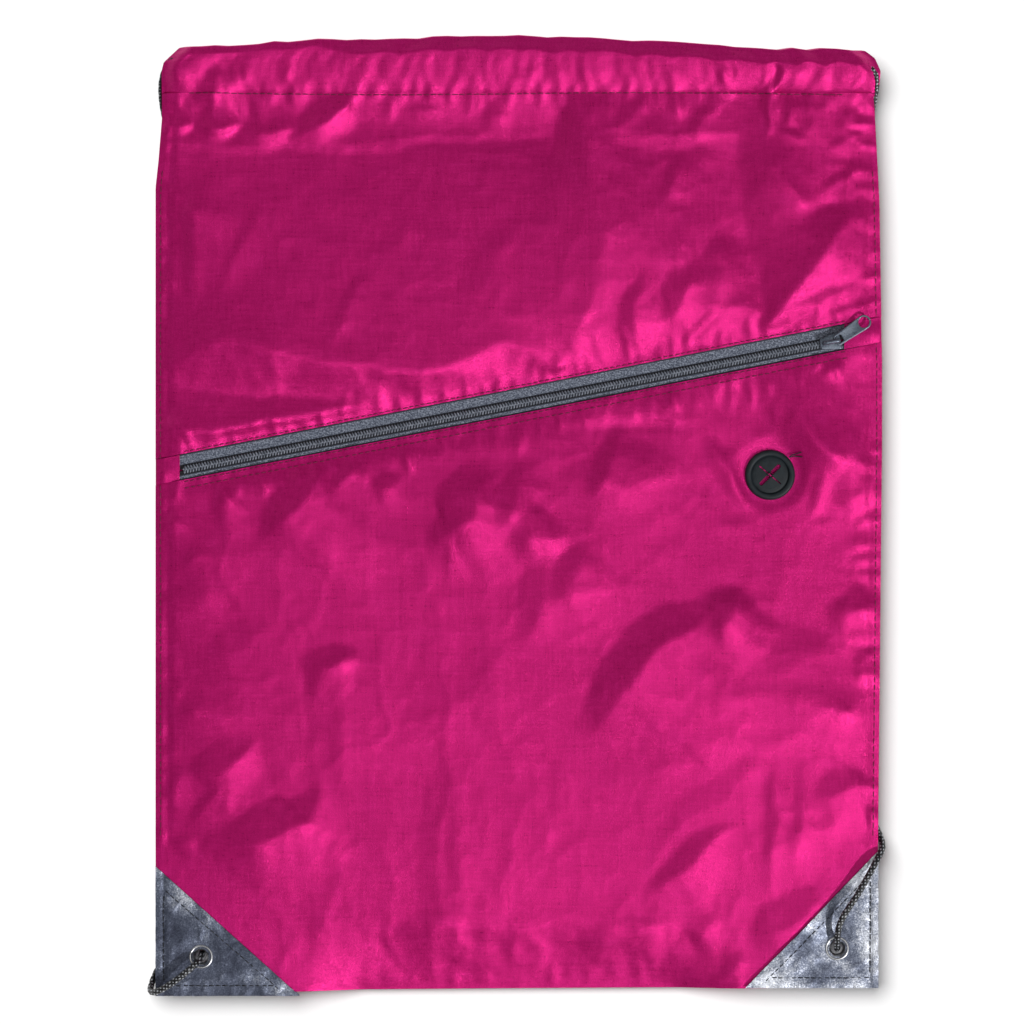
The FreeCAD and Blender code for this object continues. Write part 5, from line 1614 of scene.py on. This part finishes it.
def make_stitching(relief, bag_thread, patch_thread):
    """The runs of stitches along the hem, the zip, the side seams and the patches."""
    hem = [(x, HEM - 0.4 + 0.5 * math.sin(x / 37.0)) for x in np.linspace(-150, 150, 40)]
    side_rows = np.linspace(-146, 160, 40)
    left = [(along_table(y, LEFT_EDGE) + 2.4, y) for y in side_rows]
    right = [(along_table(y, RIGHT_EDGE) - 2.4, y) for y in side_rows]
    upper = [(x, zip_line(x, ZIP_ABOVE + 0.9)) for x in np.linspace(-152, 152, 30)]
    lower = [(x, zip_line(x, ZIP_BELOW - 3.8)) for x in np.linspace(-152, 152, 30)]
    near = [(x, zip_line(x, ZIP_BELOW - 0.9)) for x in np.linspace(-152, 152, 30)]

    def back(across, along):
        return section_level(BACK_SECTIONS, across, along) + CLOTH + 0.2

    groups = {
        "stitching_front_hem": [stitch_line(hem, relief.at, 2.5, 0.9, 71, 0.27)],
        "stitching_back_hem": [stitch_line([(x, HEM - 0.8) for x in (-128, 0, 128)], back, 2.5,
                                           0.9, 72)],
        "stitching_zip_upper": [stitch_line(upper, relief.at, 2.0, 0.8, 73)],
        "stitching_zip_lower": [stitch_line(lower, relief.at, 2.2, 0.9, 74),
                                stitch_line(near, relief.at, 2.0, 0.8, 75)],
        "stitching_side_left": [stitch_line(left, relief.at, 2.6, 1.0, 76)],
        "stitching_side_right": [stitch_line(right, relief.at, 2.6, 1.0, 77)],
    }
    for name, runs in groups.items():
        points, faces = joined(runs)
        piece = make_piece(name + "_thread", points, faces, bag_thread)
        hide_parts(name)

    def on_patch(across, along):
        return relief.at(across, along) + PATCH_LEVEL + 0.62

    for side, sign in (("left", -1), ("right", 1)):
        corner_x, corner_y, toe, top = PATCHES[side]
        side_line = corner_x - sign * PATCH_SEAM
        base_line = corner_y + PATCH_BASE_SEAM
        runs = [
            [(toe + sign * 12, base_line), (side_line, base_line)],
            [(side_line, base_line + 2.5), (side_line, top - 13)],
            [(toe + sign * 9.5, corner_y + 3.2), (corner_x - sign * 2.6, top - 9.5)],
        ]
        points, faces = joined([stitch_line(run, on_patch, 2.3, 0.9, PATCH_SEEDS[side] + number)
                                for number, run in enumerate(runs)])
        piece = make_piece(f"stitching_patch_{side}_thread", points, faces, patch_thread)
        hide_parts(f"stitching_patch_{side}")


# ---------------------------------------------------------------- the whole scene
def paint_node(name, material):
    """Give a CAD node that stays a finished material."""
    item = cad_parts[name]
    item.data.materials.clear()
    item.data.materials.append(material)


def main():
    make_camera()
    make_cords()
    make_studio()
    relief = make_relief()
    cloth = cloth_material()
    make_front(relief, cloth)
    make_tabs(relief, cloth)
    make_front_casing(relief, cloth)
    make_back_casing(cloth)
    make_lining(cloth)
    make_back(relief, cloth)
    # the right patch gets a lighter copy of the same leather: painted light, as the more brightly
    # lit corner
    make_patches(relief, {"left": patch_material(0.0), "right": patch_material(0.08)})
    tape = tape_material()
    paint_node("zip_tape_upper", tape)
    paint_node("zip_tape_lower", tape)
    make_coils(coil_material())
    enamel = enamel_material()
    make_slider(enamel)
    make_pull(enamel)
    make_eyelets(metal_material())
    make_port(rubber_material())
    dark_thread = thread_material("patch_thread", (0.006, 0.007, 0.012), (0.03, 0.033, 0.045))
    pink_thread = thread_material("bag_thread", (0.14, 0.002, 0.040), (0.34, 0.008, 0.10))
    make_loose_ends(relief, dark_thread)
    make_stitching(relief, pink_thread, dark_thread)


main()
